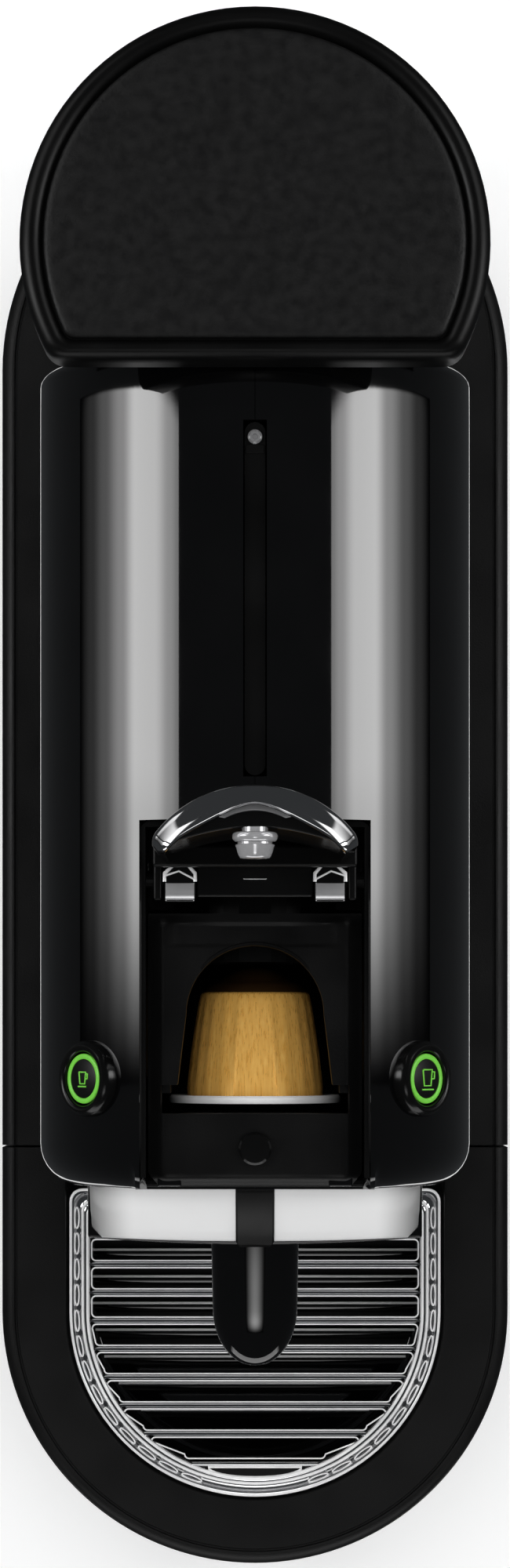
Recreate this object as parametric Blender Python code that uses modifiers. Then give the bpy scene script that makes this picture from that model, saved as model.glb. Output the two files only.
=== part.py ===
"""Pod coffee machine with a pull-out drip unit, a folding cup support, a closing lever and a rear water tank.

Sizes are millimetres in this script, and the helpers turn them into Blender's metres. The machine stands on
z = 0 with its front towards -Y; the origin is the middle of the footprint.
"""

import math

import bmesh
import bpy
from mathutils import Matrix, Vector

MM = 0.001
GAP = 0.3  # clearance between pieces that touch

# Footprint: a stadium with round ends
BASE_HALF = 65.0
BASE_ARC_Y = 121.0
DECK_Z = 70.0
SEAM_Y = -78.6
WALL = 2.5

# Head: an arch on straight sides
ARCH_R = 47.0
ARCH_SPRING_Z = 215.0
BODY_FRONT_Y = -83.5
BODY_REAR_Y = 94.0
FRONT_CORNER_R = 10.0
REAR_CORNER_R = 8.0
OPENING_HALF = 24.2
OPENING_REAR_Y = -4.7
OPENING_Z = 246.5

# Drip unit
POCKET_R = 48.2
BAR_PITCH = 7.26
BAR_WIDTH = 1.1
SUPPORT_BAR_Y = -101.64
SUPPORT_HINGE = (-91.0, 68.2)
BAY_HALF = 44.0

# Brewing axis and lever
BREW_Z = 226.5
LEVER_PIVOT = (-17.0, 250.0)
LEVER_TOP_Z = 312.0
HANDLE_R = 24.8
STUD_REACH = 56.6
FLANGE_Y = -63.4

# Buttons
BUTTON_TILT = math.radians(48.0)
BUTTON_Y = -58.9

# Tank
TANK_R = 45.5
TANK_Y = 112.2
TANK_FLAT_Y = 96.5
TANK_TOP_Z = 264.0
LID_R = 48.2
LID_FLAT_Y = 88.3
LID_TOP_Z = 278.0

for old in list(bpy.data.objects):
    bpy.data.objects.remove(old)
PARTS = bpy.data.collections.new("pod_coffee_machine")
CUTTERS = bpy.data.collections.new("cutters")
for group in (PARTS, CUTTERS):
    bpy.context.scene.collection.children.link(group)
CUTTERS.hide_render = True

# ---------------------------------------------------------------- materials


def finish(name, colour, roughness, metallic=0.0, alpha=1.0):
    """A plain Principled material."""
    material = bpy.data.materials.new(name)
    material.use_nodes = True
    shader = material.node_tree.nodes["Principled BSDF"]
    shader.inputs["Base Color"].default_value = (*colour, 1.0)
    shader.inputs["Roughness"].default_value = roughness
    shader.inputs["Metallic"].default_value = metallic
    shader.inputs["Alpha"].default_value = alpha
    material.diffuse_color = (*colour, alpha)
    return material


GLOSS_BLACK = finish("gloss_black", (0.006, 0.006, 0.007), 0.08)
MATTE_BLACK = finish("matte_black", (0.010, 0.010, 0.011), 0.5)
GRAINED_BLACK = finish("grained_black", (0.013, 0.013, 0.013), 0.45)
DARK_GREY = finish("dark_grey", (0.03, 0.03, 0.03), 0.4)
CHROME = finish("chrome", (0.85, 0.85, 0.86), 0.06, 1.0)
STEEL = finish("steel", (0.55, 0.55, 0.56), 0.3, 1.0)
BRASS = finish("brass", (0.6, 0.45, 0.2), 0.3, 1.0)
ALUMINIUM = finish("cast_aluminium", (0.6, 0.6, 0.62), 0.35, 1.0)
GOLD = finish("gold_foil", (0.75, 0.45, 0.13), 0.3, 1.0)
RUBBER = finish("rubber", (0.02, 0.02, 0.02), 0.8)
SILICONE = finish("silicone", (0.6, 0.6, 0.58), 0.5)
BOARD = finish("circuit_green", (0.02, 0.12, 0.05), 0.4)
CLEAR = finish("clear_plastic", (0.25, 0.27, 0.28), 0.05, 0.0, 0.35)

# ---------------------------------------------------------------- helpers


def place(obj, name, material):
    """Names the object, gives it its material, and puts it with the parts, or with the cutters if it has none."""
    obj.name = name
    obj.data.name = name
    obj.data.materials.clear()
    for group in list(obj.users_collection):
        group.objects.unlink(obj)
    obj.hide_render = material is None
    obj.display_type = "WIRE" if material is None else "TEXTURED"
    if material is None:
        CUTTERS.objects.link(obj)
    else:
        PARTS.objects.link(obj)
        obj.data.materials.append(material)
    return obj


def settle(obj, name, material):
    """The evaluated object as a welded mesh with its faces outwards, in place of the object."""
    bpy.context.view_layer.update()
    graph = bpy.context.evaluated_depsgraph_get()
    mesh = bpy.data.meshes.new_from_object(obj.evaluated_get(graph))
    solid = bpy.data.objects.new(name, mesh)
    solid.matrix_world = obj.matrix_world.copy()
    bpy.context.scene.collection.objects.link(solid)
    bpy.data.objects.remove(obj)
    edit = bmesh.new()
    edit.from_mesh(mesh)
    bmesh.ops.remove_doubles(edit, verts=edit.verts, dist=1e-6)
    bmesh.ops.recalc_face_normals(edit, faces=edit.faces)
    edit.to_mesh(mesh)
    edit.free()
    mesh.shade_smooth()
    mesh.set_sharp_from_angle(angle=math.radians(35))
    return place(solid, name, material)


def bevel(obj, width, segments=2, angle=40.0):
    """Rounds every edge sharper than the angle."""
    rounding = obj.modifiers.new("rounding", "BEVEL")
    rounding.width = width * MM
    rounding.segments = segments
    rounding.limit_method = "ANGLE"
    rounding.angle_limit = math.radians(angle)
    return obj


def box(name, low, high, material=None, rounded=0.0):
    """A block between two corners."""
    bpy.ops.mesh.primitive_cube_add(size=MM)
    obj = bpy.context.active_object
    size = [b - a for a, b in zip(low, high)]
    obj.data.transform(Matrix.Diagonal((*size, 1.0)))
    obj.location = [(a + b) / 2 * MM for a, b in zip(low, high)]
    place(obj, name, material)
    if rounded:
        bevel(obj, rounded)
    return obj


AXES = {
    "X": Matrix(((0, 0, 1), (1, 0, 0), (0, 1, 0))),
    "Y": Matrix(((1, 0, 0), (0, 0, -1), (0, 1, 0))),
    "Z": Matrix.Identity(3),
}


def plate(name, outline, low, high, material=None, axis="Z"):
    """A flat outline given thickness: (x, y) along Z, (y, z) along X, or (x, z) along Y."""
    curve = bpy.data.curves.new(name, "CURVE")
    curve.dimensions = "2D"
    curve.fill_mode = "BOTH"
    curve.extrude = (high - low) / 2 * MM
    spline = curve.splines.new("POLY")
    spline.points.add(len(outline) - 1)
    for point, (u, v) in zip(spline.points, outline):
        point.co = (u * MM, v * MM, 0.0, 1.0)
    spline.use_cyclic_u = True
    obj = bpy.data.objects.new(name, curve)
    bpy.context.scene.collection.objects.link(obj)
    middle = (low + high) / 2 * MM
    turn = AXES[axis]
    offset = turn @ Vector((0, 0, -middle if axis == "Y" else middle))
    obj.matrix_world = Matrix.Translation(offset) @ turn.to_4x4()
    return settle(obj, name, material)


def turned(name, profile, centre, material=None, axis=(0, 0, 1), steps=32):
    """A profile of (radius, height) turned about an axis through the centre; heights run along the axis."""
    mesh = bpy.data.meshes.new(name)
    points = [(r * MM, 0.0, h * MM) for r, h in profile]
    closed = profile[0][0] > 0 or profile[-1][0] > 0
    edges = [(i, i + 1) for i in range(len(points) - 1)]
    if closed:
        edges.append((len(points) - 1, 0))
    mesh.from_pydata(points, edges, [])
    obj = bpy.data.objects.new(name, mesh)
    bpy.context.scene.collection.objects.link(obj)
    lathe = obj.modifiers.new("turning", "SCREW")
    lathe.steps = steps
    lathe.render_steps = steps
    lathe.use_merge_vertices = True
    lathe.merge_threshold = 1e-5
    turn = Vector((0, 0, 1)).rotation_difference(Vector(axis)).to_matrix().to_4x4()
    obj.matrix_world = Matrix.Translation(Vector(centre) * MM) @ turn
    return settle(obj, name, material)


def rod(name, radius, start, end, material=None, steps=16):
    """A round bar from start to end."""
    along = Vector(end) - Vector(start)
    profile = [(0, along.length), (radius, along.length), (radius, 0), (0, 0)]
    return turned(name, profile, start, material, along.normalized(), steps)


def smooth_route(points, per_span=5):
    """Points on a Catmull-Rom curve through the given ones."""
    route = [Vector(p) for p in points]
    route = [2 * route[0] - route[1], *route, 2 * route[-1] - route[-2]]
    found = []
    for i in range(1, len(route) - 2):
        a, b, c, d = route[i - 1 : i + 3]
        for step in range(per_span):
            t = step / per_span
            found.append(
                0.5 * (2 * b + (c - a) * t + (2 * a - 5 * b + 4 * c - d) * t**2
                       + (3 * b - a - 3 * c + d) * t**3)
            )
    found.append(route[-2])
    return found


def tube(name, points, radius, material):
    """A hose along a smooth route."""
    curve = bpy.data.curves.new(name, "CURVE")
    curve.dimensions = "3D"
    curve.bevel_depth = radius * MM
    curve.bevel_resolution = 2
    curve.use_fill_caps = True
    spline = curve.splines.new("POLY")
    route = smooth_route(points, 3)
    spline.points.add(len(route) - 1)
    for point, place_at in zip(spline.points, route):
        point.co = (*(place_at * MM), 1.0)
    obj = bpy.data.objects.new(name, curve)
    bpy.context.scene.collection.objects.link(obj)
    return settle(obj, name, material)


def boolean(obj, other, operation="DIFFERENCE"):
    """Cuts the other shape away, or joins it on."""
    step = obj.modifiers.new(operation.lower(), "BOOLEAN")
    step.object = other
    step.operation = operation
    step.solver = "EXACT"
    return obj


def arc(centre, radius, start, end, count):
    """Points on a circle, both ends included, angles in degrees."""
    angles = [math.radians(start + (end - start) * i / count) for i in range(count + 1)]
    return [(centre[0] + radius * math.cos(a), centre[1] + radius * math.sin(a)) for a in angles]


def front_outline(half, rear_y, count=24):
    """The drip unit's plan: straight sides and a round front."""
    return [(-half, rear_y), *arc((0, -BASE_ARC_Y), half, 180, 360, count), (half, rear_y)]


def rear_outline(half, front_y, count=24):
    """The chassis's plan: straight sides and a round back."""
    return [(half, front_y), *arc((0, BASE_ARC_Y), half, 0, 180, count), (-half, front_y)]


def tank_outline(radius, flat_y, count=28):
    """A circle cut off by a flat at its front."""
    dip = math.degrees(math.asin((flat_y - TANK_Y) / radius))
    return arc((0, TANK_Y), radius, dip, 180 - dip, count)


def arch_outline(half, base_z, count=20):
    """The head's section: straight sides under a half circle."""
    return [(half, base_z), *arc((0, ARCH_SPRING_Z), half, 0, 180, count), (-half, base_z)]


def arch_block(name, inset, base_z, steps=4):
    """The head as a solid, smaller all round by the inset: a loft that narrows at its round front and rear."""
    half = ARCH_R - inset
    stations = []
    for end_y, corner, way in ((BODY_FRONT_Y, FRONT_CORNER_R, 1), (BODY_REAR_Y, REAR_CORNER_R, -1)):
        radius = corner - inset
        ring = []
        for step in range(steps + 1):
            angle = math.pi / 2 * step / steps
            y = end_y + way * (inset + radius * (1 - math.cos(angle)))
            ring.append((y, half - radius * (1 - math.sin(angle))))
        stations += ring if way == 1 else ring[::-1]
    edit = bmesh.new()
    rings = [
        [edit.verts.new((x * MM, y * MM, z * MM)) for x, z in arch_outline(width, base_z)]
        for y, width in stations
    ]
    count = len(rings[0])
    for near, far in zip(rings, rings[1:]):
        for i in range(count):
            j = (i + 1) % count
            edit.faces.new((near[i], near[j], far[j], far[i]))
    edit.faces.new(rings[0])
    edit.faces.new(rings[-1])
    mesh = bpy.data.meshes.new(name)
    edit.to_mesh(mesh)
    edit.free()
    obj = bpy.data.objects.new(name, mesh)
    bpy.context.scene.collection.objects.link(obj)
    return settle(obj, name, None)


def span(a, b, sign):
    """The X span from a to b on the given side, lowest first."""
    return tuple(sorted((a * sign, b * sign)))


def side_box(name, sign, x_span, y_span, z_span, material=None, rounded=0.0):
    """A block given by its spans, on the given side."""
    low_x, high_x = span(*x_span, sign)
    return box(name, (low_x, y_span[0], z_span[0]), (high_x, y_span[1], z_span[1]), material, rounded)

# ---------------------------------------------------------------- base


def base_chassis():
    chassis = plate("base_chassis", rear_outline(BASE_HALF, SEAM_Y + GAP), 4.9, DECK_Z, MATTE_BLACK)
    hollow = plate("chassis_hollow", rear_outline(BASE_HALF - WALL, SEAM_Y + GAP + WALL), 3.0, DECK_Z - 3)
    boolean(hollow, box("bay_walls", (-BAY_HALF - WALL, -90, 0), (BAY_HALF + WALL, -16.5, 80)))
    boolean(chassis, hollow)
    boolean(chassis, box("bay", (-BAY_HALF, -90, 0), (BAY_HALF, -19, 80)))
    boolean(chassis, box("deck_hole", (-41, -15, 60), (41, 88, 80)))
    for number, (x, y) in enumerate(((54.5, -66), (54.5, 50), (40, 148))):
        for sign in (-1, 1):
            post = rod(f"post_{number}_{sign}", 4, (x * sign, y, 5.2), (x * sign, y, DECK_Z - 1), None, 12)
            boolean(chassis, post, "UNION")
    boolean(chassis, rod("connector_hole", 7.3, (0, TANK_Y, 60), (0, TANK_Y, 80)))
    boolean(chassis, rod("inlet_hole", 5.4, (0, 178, 20), (0, 190, 20)))


def base_plate():
    base = plate("base_plate", rear_outline(BASE_HALF - 3, SEAM_Y + 3.6), 2.3, 4.6, DARK_GREY)
    bevel(base, 0.6, 1)


def feet():
    for number, (x, y) in enumerate(((-52, -48), (52, -48), (-38, 140), (38, 140)), 1):
        profile = [(0, 2.0), (7, 2.0), (7, 0.8), (6.2, 0), (0, 0)]
        turned(f"foot_{number}", profile, (x, y, 0), RUBBER, steps=20)


def cord_inlet():
    profile = [(2.8, 5.6), (5.0, 5.6), (5.0, 0), (7.5, 0), (7.5, -2.2), (2.8, -2.2)]
    turned("cord_inlet", profile, (0, 180.0, 20), RUBBER, (0, 1, 0), 20)


# ---------------------------------------------------------------- drip unit


def drip_tray():
    tray = plate("drip_tray", front_outline(BASE_HALF, SEAM_Y - GAP), 2.0, DECK_Z, MATTE_BLACK)
    channel = plate("rim_channel", front_outline(BASE_HALF - WALL, SEAM_Y - GAP - WALL), 1.0, DECK_Z - 3)
    boolean(channel, plate("channel_core", front_outline(POCKET_R + WALL, -60), 0.0, 80.0))
    boolean(tray, channel)
    boolean(tray, plate("pocket", front_outline(POCKET_R, -60), 8.2, 80.0))
    boolean(tray, plate("sump", front_outline(POCKET_R - 4.2, -84), 4.5, 9.0))
    extension = box("tray_extension", (-43.2, -86, 5.2), (43.2, -24, 22))
    boolean(tray, extension, "UNION")
    boolean(tray, box("extension_hollow", (-41, -83.8, 7.4), (41, -26.2, 30)))
    for x in (-38, 38):
        boolean(tray, rod(f"tray_pad_{x}", 6, (x, -138, 0), (x, -138, 3), None, 16), "UNION")
    hinge = [(-60, *SUPPORT_HINGE), (60, *SUPPORT_HINGE)]
    boolean(tray, rod("tray_pin_holes", 1.6, hinge[0], hinge[1]))


def slot_outline(low_y, high_y, reach, count=5):
    """A slot between two bars, its ends following the round front at the given reach."""
    ys = [low_y + (high_y - low_y) * i / count for i in range(count + 1)]
    right = []
    for y in ys:
        beyond = max(0.0, -BASE_ARC_Y - y)
        right.append((math.sqrt(max(reach**2 - beyond**2, 1.0)), y))
    return right + [(-x, y) for x, y in reversed(right)]


def cut_slots(grid, first_bar_y, bars, reach, low, high):
    """Cuts the long openings between equally spaced cross bars."""
    for number in range(bars - 1):
        high_y = first_bar_y - number * BAR_PITCH - BAR_WIDTH / 2
        low_y = high_y - BAR_PITCH + BAR_WIDTH
        boolean(grid, plate(f"{grid.name}_slot_{number}", slot_outline(low_y, high_y, reach), low, high))


def lower_drip_grid():
    grid = plate("lower_drip_grid", front_outline(POCKET_R - 0.5, -86.6), 8.5, 10.0, STEEL)
    cut_slots(grid, SUPPORT_BAR_Y - 0.5 + BAR_PITCH, 10, 43.0, 8.0, 11.0)


def cup_support():
    support = plate("cup_support", front_outline(POCKET_R - 0.35, -89.2), DECK_Z - 3.4, DECK_Z, CHROME)
    cut_slots(support, SUPPORT_BAR_Y, 9, 42.0, DECK_Z - 4, DECK_Z + 1)
    front_y = -BASE_ARC_Y - 39.2
    lens = [(-16, front_y), *arc((0, front_y + 26), 31, 239, 301, 10), (16, front_y)]
    boolean(support, plate("front_lens", lens, DECK_Z - 4, DECK_Z + 1))
    for sign in (-1, 1):
        stub = rod(f"support_stub_{sign}", 1.2, (46 * sign, *SUPPORT_HINGE), (50.2 * sign, *SUPPORT_HINGE))
        boolean(support, stub, "UNION")


def capsule_container():
    container = box("capsule_container", (-40.4, -83.2, 8.2), (40.4, -27, 147), DARK_GREY, 2.0)
    boolean(container, box("container_hollow", (-38.4, -81.2, 10.2), (38.4, -29, 160)))


def container_front():
    half, crown_y, bow = 43.0, -88.0, 2.6
    radius = (half**2 + bow**2) / (2 * bow)
    swing = math.degrees(math.asin(half / radius))
    outline = [(-half, -83.6), *arc((0, crown_y + radius), radius, 270 - swing, 270 + swing, 14), (half, -83.6)]
    front = plate("container_front", outline, 23.0, 149.5, GLOSS_BLACK)
    bevel(front, 0.6)


# ---------------------------------------------------------------- head


def body_covers():
    for side, sign in (("left", -1), ("right", 1)):
        cover = arch_block(f"{side}_cover", 0.0, DECK_Z + GAP)
        place(cover, f"{side}_cover", GLOSS_BLACK)
        boolean(cover, arch_block(f"{side}_cover_hollow", WALL, 60.0))
        boolean(cover, side_box(f"{side}_half", -sign, (-0.15, 60), (-100, 110), (50, 280)))
        boolean(cover, box(f"{side}_mouth", (-43.6, -90, 60), (43.6, -70, 172)))
        opening = box(f"{side}_opening", (-OPENING_HALF, -95, OPENING_Z),
                      (OPENING_HALF, OPENING_REAR_Y, 290))
        boolean(cover, opening)
        groove = [*arc((0, 78 - 2.45), 2.45, 0, 180, 8), *arc((0, 4 + 2.45), 2.45, 180, 360, 8)]
        boolean(cover, plate(f"{side}_groove", groove, 250, 270))
        hole = button_rod(f"{side}_button_hole", sign, [(0, 8), (8.4, 8), (8.4, -8), (0, -8)], None)
        boolean(cover, hole)


def spine_strip():
    strip = [*arc((0, 78 - 2.45), 2.15, 0, 180, 8), *arc((0, 4 + 2.45), 2.15, 180, 360, 8)]
    plate("spine_strip", strip, 258.6, 260.9, MATTE_BLACK)


def opening_frame():
    outer = [(24.0, -79.6), (24.0, -6.9), *arc((22, -6.9), 2, 0, 90, 4), *arc((-22, -6.9), 2, 90, 180, 4),
             (-24.0, -79.6)]
    frame = plate("opening_frame", outer, 238.2, 254.6, MATTE_BLACK)
    boolean(frame, box("frame_inside", (-22.9, -90, 230), (22.9, -6.1, 270)))
    boolean(frame, box("carriage_way", (-22.9, -10, 230), (22.9, 0, 246.2)))
    for sign in (-1, 1):
        ends = [(x * sign, *LEVER_PIVOT) for x in (19.2, 23.5)]
        boolean(frame, rod(f"lever_boss_{sign}", 1.8, *ends), "UNION")


def slot_cover():
    cover = box("slot_cover", (-22.6, -83.1, 247), (22.6, -23.4, 251.4), GRAINED_BLACK, 1.6)
    arch_top = arc((0, -45.4), 14.5, 0, 180, 14)
    slot = [(16.4, -60.2), *arch_top, (-16.4, -60.2), (-19.8, -60.2), (-19.8, -66.2), (19.8, -66.2),
            (19.8, -60.2)]
    boolean(cover, plate("capsule_slot", slot, 240, 260))
    boolean(cover, rod("plug_hole", 3.8, (0, LEVER_PIVOT[0] - STUD_REACH, 240),
                       (0, LEVER_PIVOT[0] - STUD_REACH, 260)))
    for sign in (-1, 1):
        boolean(cover, side_box(f"front_notch_{sign}", sign, (15.5, 20.5), (-90, -79.6), (240, 260)))


def slot_plug():
    profile = [(0, 251.2), (3.0, 251.2), (3.5, 250.7), (3.5, 247.2), (0, 247.2)]
    turned("slot_plug", profile, (0, LEVER_PIVOT[0] - STUD_REACH, 0), RUBBER, steps=24)


def chin_outline(half, front_y, corner, rear_y):
    """A bar's plan with a slightly convex front and rounded front corners."""
    bow = 1.2
    radius = ((half - corner) ** 2 + bow**2) / (2 * bow)
    swing = math.degrees(math.asin((half - corner) / radius))
    front = arc((0, front_y + radius), radius, 270 - swing, 270 + swing, 10)
    shoulder_y = front_y + bow + corner
    left = arc((-half + corner, shoulder_y), corner, 180, 262, 6)
    right = arc((half - corner, shoulder_y), corner, 278, 360, 6)
    return [(-half, rear_y), *left, *front[1:-1], *right, (half, rear_y)]


def chin():
    slope = [(-84.0, 190.0), (-84.0, 175.0), (-98.0, 175.0), (-98.0, 176.0)]
    panel = plate("chin_panel", slope, -37.5, 37.5, CHROME, "X")
    boolean(panel, plate("chin_plan", chin_outline(37.4, -97.2, 7.0, -80), 170, 195), "INTERSECT")
    groove = [(-83.0, 191.0), (-83.0, 186.6), (-99.0, 170.6), (-99.0, 180.0)]
    boolean(panel, plate("strip_groove", groove, -4.7, 4.7, None, "X"))
    plate("chin_lip", chin_outline(38.4, -98.0, 8.0, -84.0), 172.3, 174.7, DARK_GREY)
    strip = [(-84.0, 191.0), (-84.0, 187.9), (-96.0, 175.9), (-97.6, 175.1), (-98.4, 175.9), (-98.0, 177.2)]
    plate("chin_strip", strip, -4.4, 4.4, GLOSS_BLACK, "X")


def spout():
    outline = [(-10.3, -89.0), *arc((0, -116.5), 10.3, 180, 360, 14), (10.3, -89.0)]
    cover = plate("spout_cover", outline, 153.0, 171.9, GLOSS_BLACK)
    bevel(cover, 5.0, 4)
    cover.modifiers["rounding"].limit_method = "WEIGHT"
    weights = cover.data.attributes.new("bevel_weight_edge", "FLOAT", "EDGE")
    for edge in cover.data.edges:
        ends = [cover.matrix_world @ cover.data.vertices[i].co for i in edge.vertices]
        top = all(abs(p.z - 171.9 * MM) < 1e-5 for p in ends)
        at_root = all(abs(p.y + 89.0 * MM) < 1e-5 for p in ends)
        weights.data[edge.index].value = float(top and not at_root)
    inside = [(-8.0, -95.0), *arc((0, -116.0), 8.0, 180, 360, 12), (8.0, -95.0)]
    boolean(cover, plate("spout_hollow", inside, 150.0, 164.5))
    boolean(cover, box("spout_channel", (-3, -96, 158), (3, -80, 163)))
    profile = [(2.2, 164.2), (5.0, 164.2), (4.0, 154.5), (2.2, 153.6)]
    turned("spout_nozzle", profile, (0, -112, 0), DARK_GREY, steps=20)


def outlet():
    housing = box("outlet_housing", (-36, -87.0, 151.5), (36, -68.5, 171.9), GLOSS_BLACK, 1.0)
    boolean(housing, box("outlet_channel", (-3, -95, 158), (3, -72, 163)))
    boolean(housing, rod("outlet_drop", 3, (0, -75, 160), (0, -75, 180)))
    profile = [(5.2, 204.9), (6.6, 204.9), (5.2, 184), (5.2, 172.4), (3.6, 172.4), (3.6, 185)]
    turned("outlet_funnel", profile, (0, -74, 0), DARK_GREY, steps=20)

# ---------------------------------------------------------------- brewing


def extraction_head():
    head = box("extraction_head", (-22, -80.6, 205.3), (22, -69.9, 246.6), MATTE_BLACK, 0.8)
    boolean(head, box("outlet_slot", (-3, -76.5, 200), (3, -69, 234)))
    for sign in (-1, 1):
        boolean(head, side_box(f"guide_{sign}", sign, (19.9, 22.3), (-71, -58.5), (206, 246)), "UNION")
        boolean(head, side_box(f"rail_{sign}", sign, (17.9, 20.5), (-62.0, -58.5), (206, 246)), "UNION")


def extraction_plate():
    profile = [(0, 3.0), (16, 3.0), (16.5, 2.4), (19.4, 2.4), (19.4, 0), (0, 0)]
    turned("extraction_plate", profile, (0, -69.6, BREW_Z), STEEL, (0, 1, 0), 28)


def capsule():
    profile = [(0, 28.9), (3.8, 28.9), (11.8, 24.5), (14.7, 1.2), (18.1, 1.2), (18.5, 0.9), (18.5, 0.3),
               (18.1, 0), (0, 0)]
    turned("capsule", profile, (0, FLANGE_Y - 0.6, BREW_Z), GOLD, (0, 1, 0), 40)


def cage():
    profile = [(1.5, 33.2), (8, 33.2), (13.5, 31), (17.5, 24), (17.5, 0), (15.7, 0), (12.9, 24),
               (5.6, 28.2), (1.5, 28.2)]
    turned("capsule_cage", profile, (0, -34.2, BREW_Z), STEEL, (0, 1, 0), 32)
    carriage = box("cage_carriage", (-17, -0.7, 212), (17, 20, 241), DARK_GREY, 1.5)
    boolean(carriage, box("carriage_ears", (-22.8, 4, 220), (22.8, 16, 233)), "UNION")
    rod_profile = [(2.8, 57.8), (2.8, 0), (1.2, 0), (1.2, 57.8)]
    turned("carriage_rod", rod_profile, (0, 20.3, BREW_Z), STEEL, (0, 1, 0), 16)


def brew_frames():
    outline = [(-57, 206), (36, 206), (36, 237.5), (-57, 237.5)]
    for side, sign in (("left", -1), ("right", 1)):
        low, high = span(23.4, 25.4, sign)
        frame = plate(f"brew_frame_{side}", outline, low, high, STEEL, "X")
        for number, y in enumerate((-44, -14, 26)):
            boolean(frame, rod(f"lightening_{side}_{number}", 4.5, (20 * sign, y, 213), (30 * sign, y, 213),
                               None, 12))


def injector_block():
    block = box("injector_block", (-14, 38, 203.4), (14, 48, 241), BRASS, 1.0)
    boolean(block, rod("rod_bore", 3.1, (0, 30, BREW_Z), (0, 60, BREW_Z)))


def column_frame():
    outline = [(-22, 71), (-19.6, 71), (-19.6, 200.6), (88, 200.6), (88, 203), (-22, 203)]
    frame = plate("column_frame", outline, -43.8, 43.8, DARK_GREY, "X")
    boolean(frame, rod("hose_hole", 4.5, (8, 62, 190), (8, 62, 210), None, 12))


def thermoblock():
    block = box("thermoblock", (-24, 20, 150), (24, 80, 192), ALUMINIUM, 3.0)
    for z in (160, 171, 182):
        boolean(block, rod(f"heater_groove_{z}", 2.2, (-24, 10, z), (-24, 90, z), None, 12))


def pump():
    profile = [(0, 74), (3, 74), (3, 66), (10, 66), (10, 56), (17, 56), (17, 16), (10, 16), (10, 6), (3, 6),
               (3, 0), (0, 0)]
    turned("pump", profile, (0, -6, 23.2), STEEL, (0, 1, 0), 24)
    ring = [(10.3, 6), (18, 6), (18, 0), (10.3, 0)]
    for place_name, y in (("front", 2.5), ("rear", 51.5)):
        turned(f"pump_mount_{place_name}", ring, (0, y, 23.2), RUBBER, (0, 1, 0), 24)


def flow_meter():
    profile = [(0, 48), (8, 48), (11, 46), (11, 30), (3, 30), (3, 24), (0, 24)]
    meter = turned("flow_meter", profile, (26, 78, 0), DARK_GREY, steps=20)
    boolean(meter, rod("meter_inlet", 2.5, (26, 84, 39), (26, 94, 39), None, 12), "UNION")


def circuit_board():
    board = box("circuit_board", (-42, -5, 85), (-40.4, 70, 160), BOARD)
    for number, (y, z, width) in enumerate(((8, 140, 14), (40, 135, 22), (30, 100, 12))):
        chip = box(f"component_{number}", (-41, y, z - width / 2), (-32, y + width, z + width / 2))
        boolean(board, chip, "UNION")


def hoses():
    tube("tank_hose", [(0, 112.2, 51.5), (0, 112.2, 45), (6, 109, 40), (16, 105, 39), (25.6, 101, 39),
                       (26, 94.5, 39)], 2.5, SILICONE)
    tube("pump_hose", [(26, 78, 23.6), (26, 78, 18), (18, 78, 13.5), (8, 77, 14), (0, 76, 22.5), (0, 72, 23.2), (0, 68.8, 23.2)],
         2.5, SILICONE)
    tube("pressure_hose", [(0, -6.8, 23.2), (0, -9.5, 23.2), (6, -11.5, 28), (14, -11, 42), (26, -4, 70), (33, 8, 110),
                           (33, 24, 150), (30, 35.5, 171), (25.3, 35.5, 171)], 2.2, SILICONE)
    tube("brew_hose", [(8, 60, 192.6), (8, 60, 197), (8, 62, 203), (8, 61, 212), (8, 55, 219),
                       (8, 48.5, 219)], 2.2, SILICONE)


# ---------------------------------------------------------------- lever


def ring_sector(outer, inner, sweep, count=20):
    """A bowed band about the handle's centre line, its crown towards the rear."""
    centre = (0, -0.5 - HANDLE_R)
    outside = arc(centre, outer, 90 - sweep, 90 + sweep, count)
    inside = arc(centre, inner, 90 + sweep, 90 - sweep, count)
    return outside + inside


def lever():
    handle = plate("lever_handle", ring_sector(HANDLE_R, HANDLE_R - 2.8, 57.4), 263.4, LEVER_TOP_Z, CHROME)
    bevel(handle, 1.1, 2)
    back = arc((0, -0.5 - HANDLE_R), HANDLE_R - 3.1, 36, 144, 16)
    front = arc((0, -8.8 - 31.9), 31.9, 123, 57, 12)
    body = plate("lever_body", back + front, 262.3, LEVER_TOP_Z - 3, MATTE_BLACK)
    bar = [(-21.3, -14.8), (21.3, -14.8), (21.3, -12.6), (14, -10.2), (-14, -10.2), (-21.3, -12.6)]
    boolean(body, plate("lever_bar", bar, 257.0, 263.0), "UNION")
    pivot_y, pivot_z = LEVER_PIVOT
    cheek = [*arc(LEVER_PIVOT, 5.0, 150, 390, 14), (pivot_y + 4.4, 262), (pivot_y + 2.2, 262),
             (pivot_y + 2.2, 257.5)]
    for side, sign in (("left", -1), ("right", 1)):
        low, high = span(19.4, 21.3, sign)
        boolean(body, plate(f"cheek_{side}", cheek, low, high, None, "X"), "UNION")
        boss_ends = [(x * sign, pivot_y, pivot_z) for x in (18, 23)]
        boolean(body, rod(f"cheek_hole_{side}", 2.05, *boss_ends))
        lug = [(-21.9, 246.8), (-21.9, 252), (-17.6, 255.9), (-15.1, 256.2), (-15.1, 256.7), (-12.2, 256.7),
               (-12.2, 246.8)]
        low, high = span(12.4, 19.0, sign)
        plate(f"lever_lug_{side}", lug, low, high, CHROME, "X")
    profile = [(0, 6.0), (3.8, 6.0), (4.1, 5.2), (3.9, 4.0), (4.5, 2.6), (3.6, 2.3), (3.6, 1.7),
               (4.5, 1.4), (4.5, 0.5), (4.0, 0), (0, 0)]
    turned("latch_stud", profile, (0, -9.1, pivot_z + STUD_REACH), CHROME, (0, -1, 0), 24)


# ---------------------------------------------------------------- buttons


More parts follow.
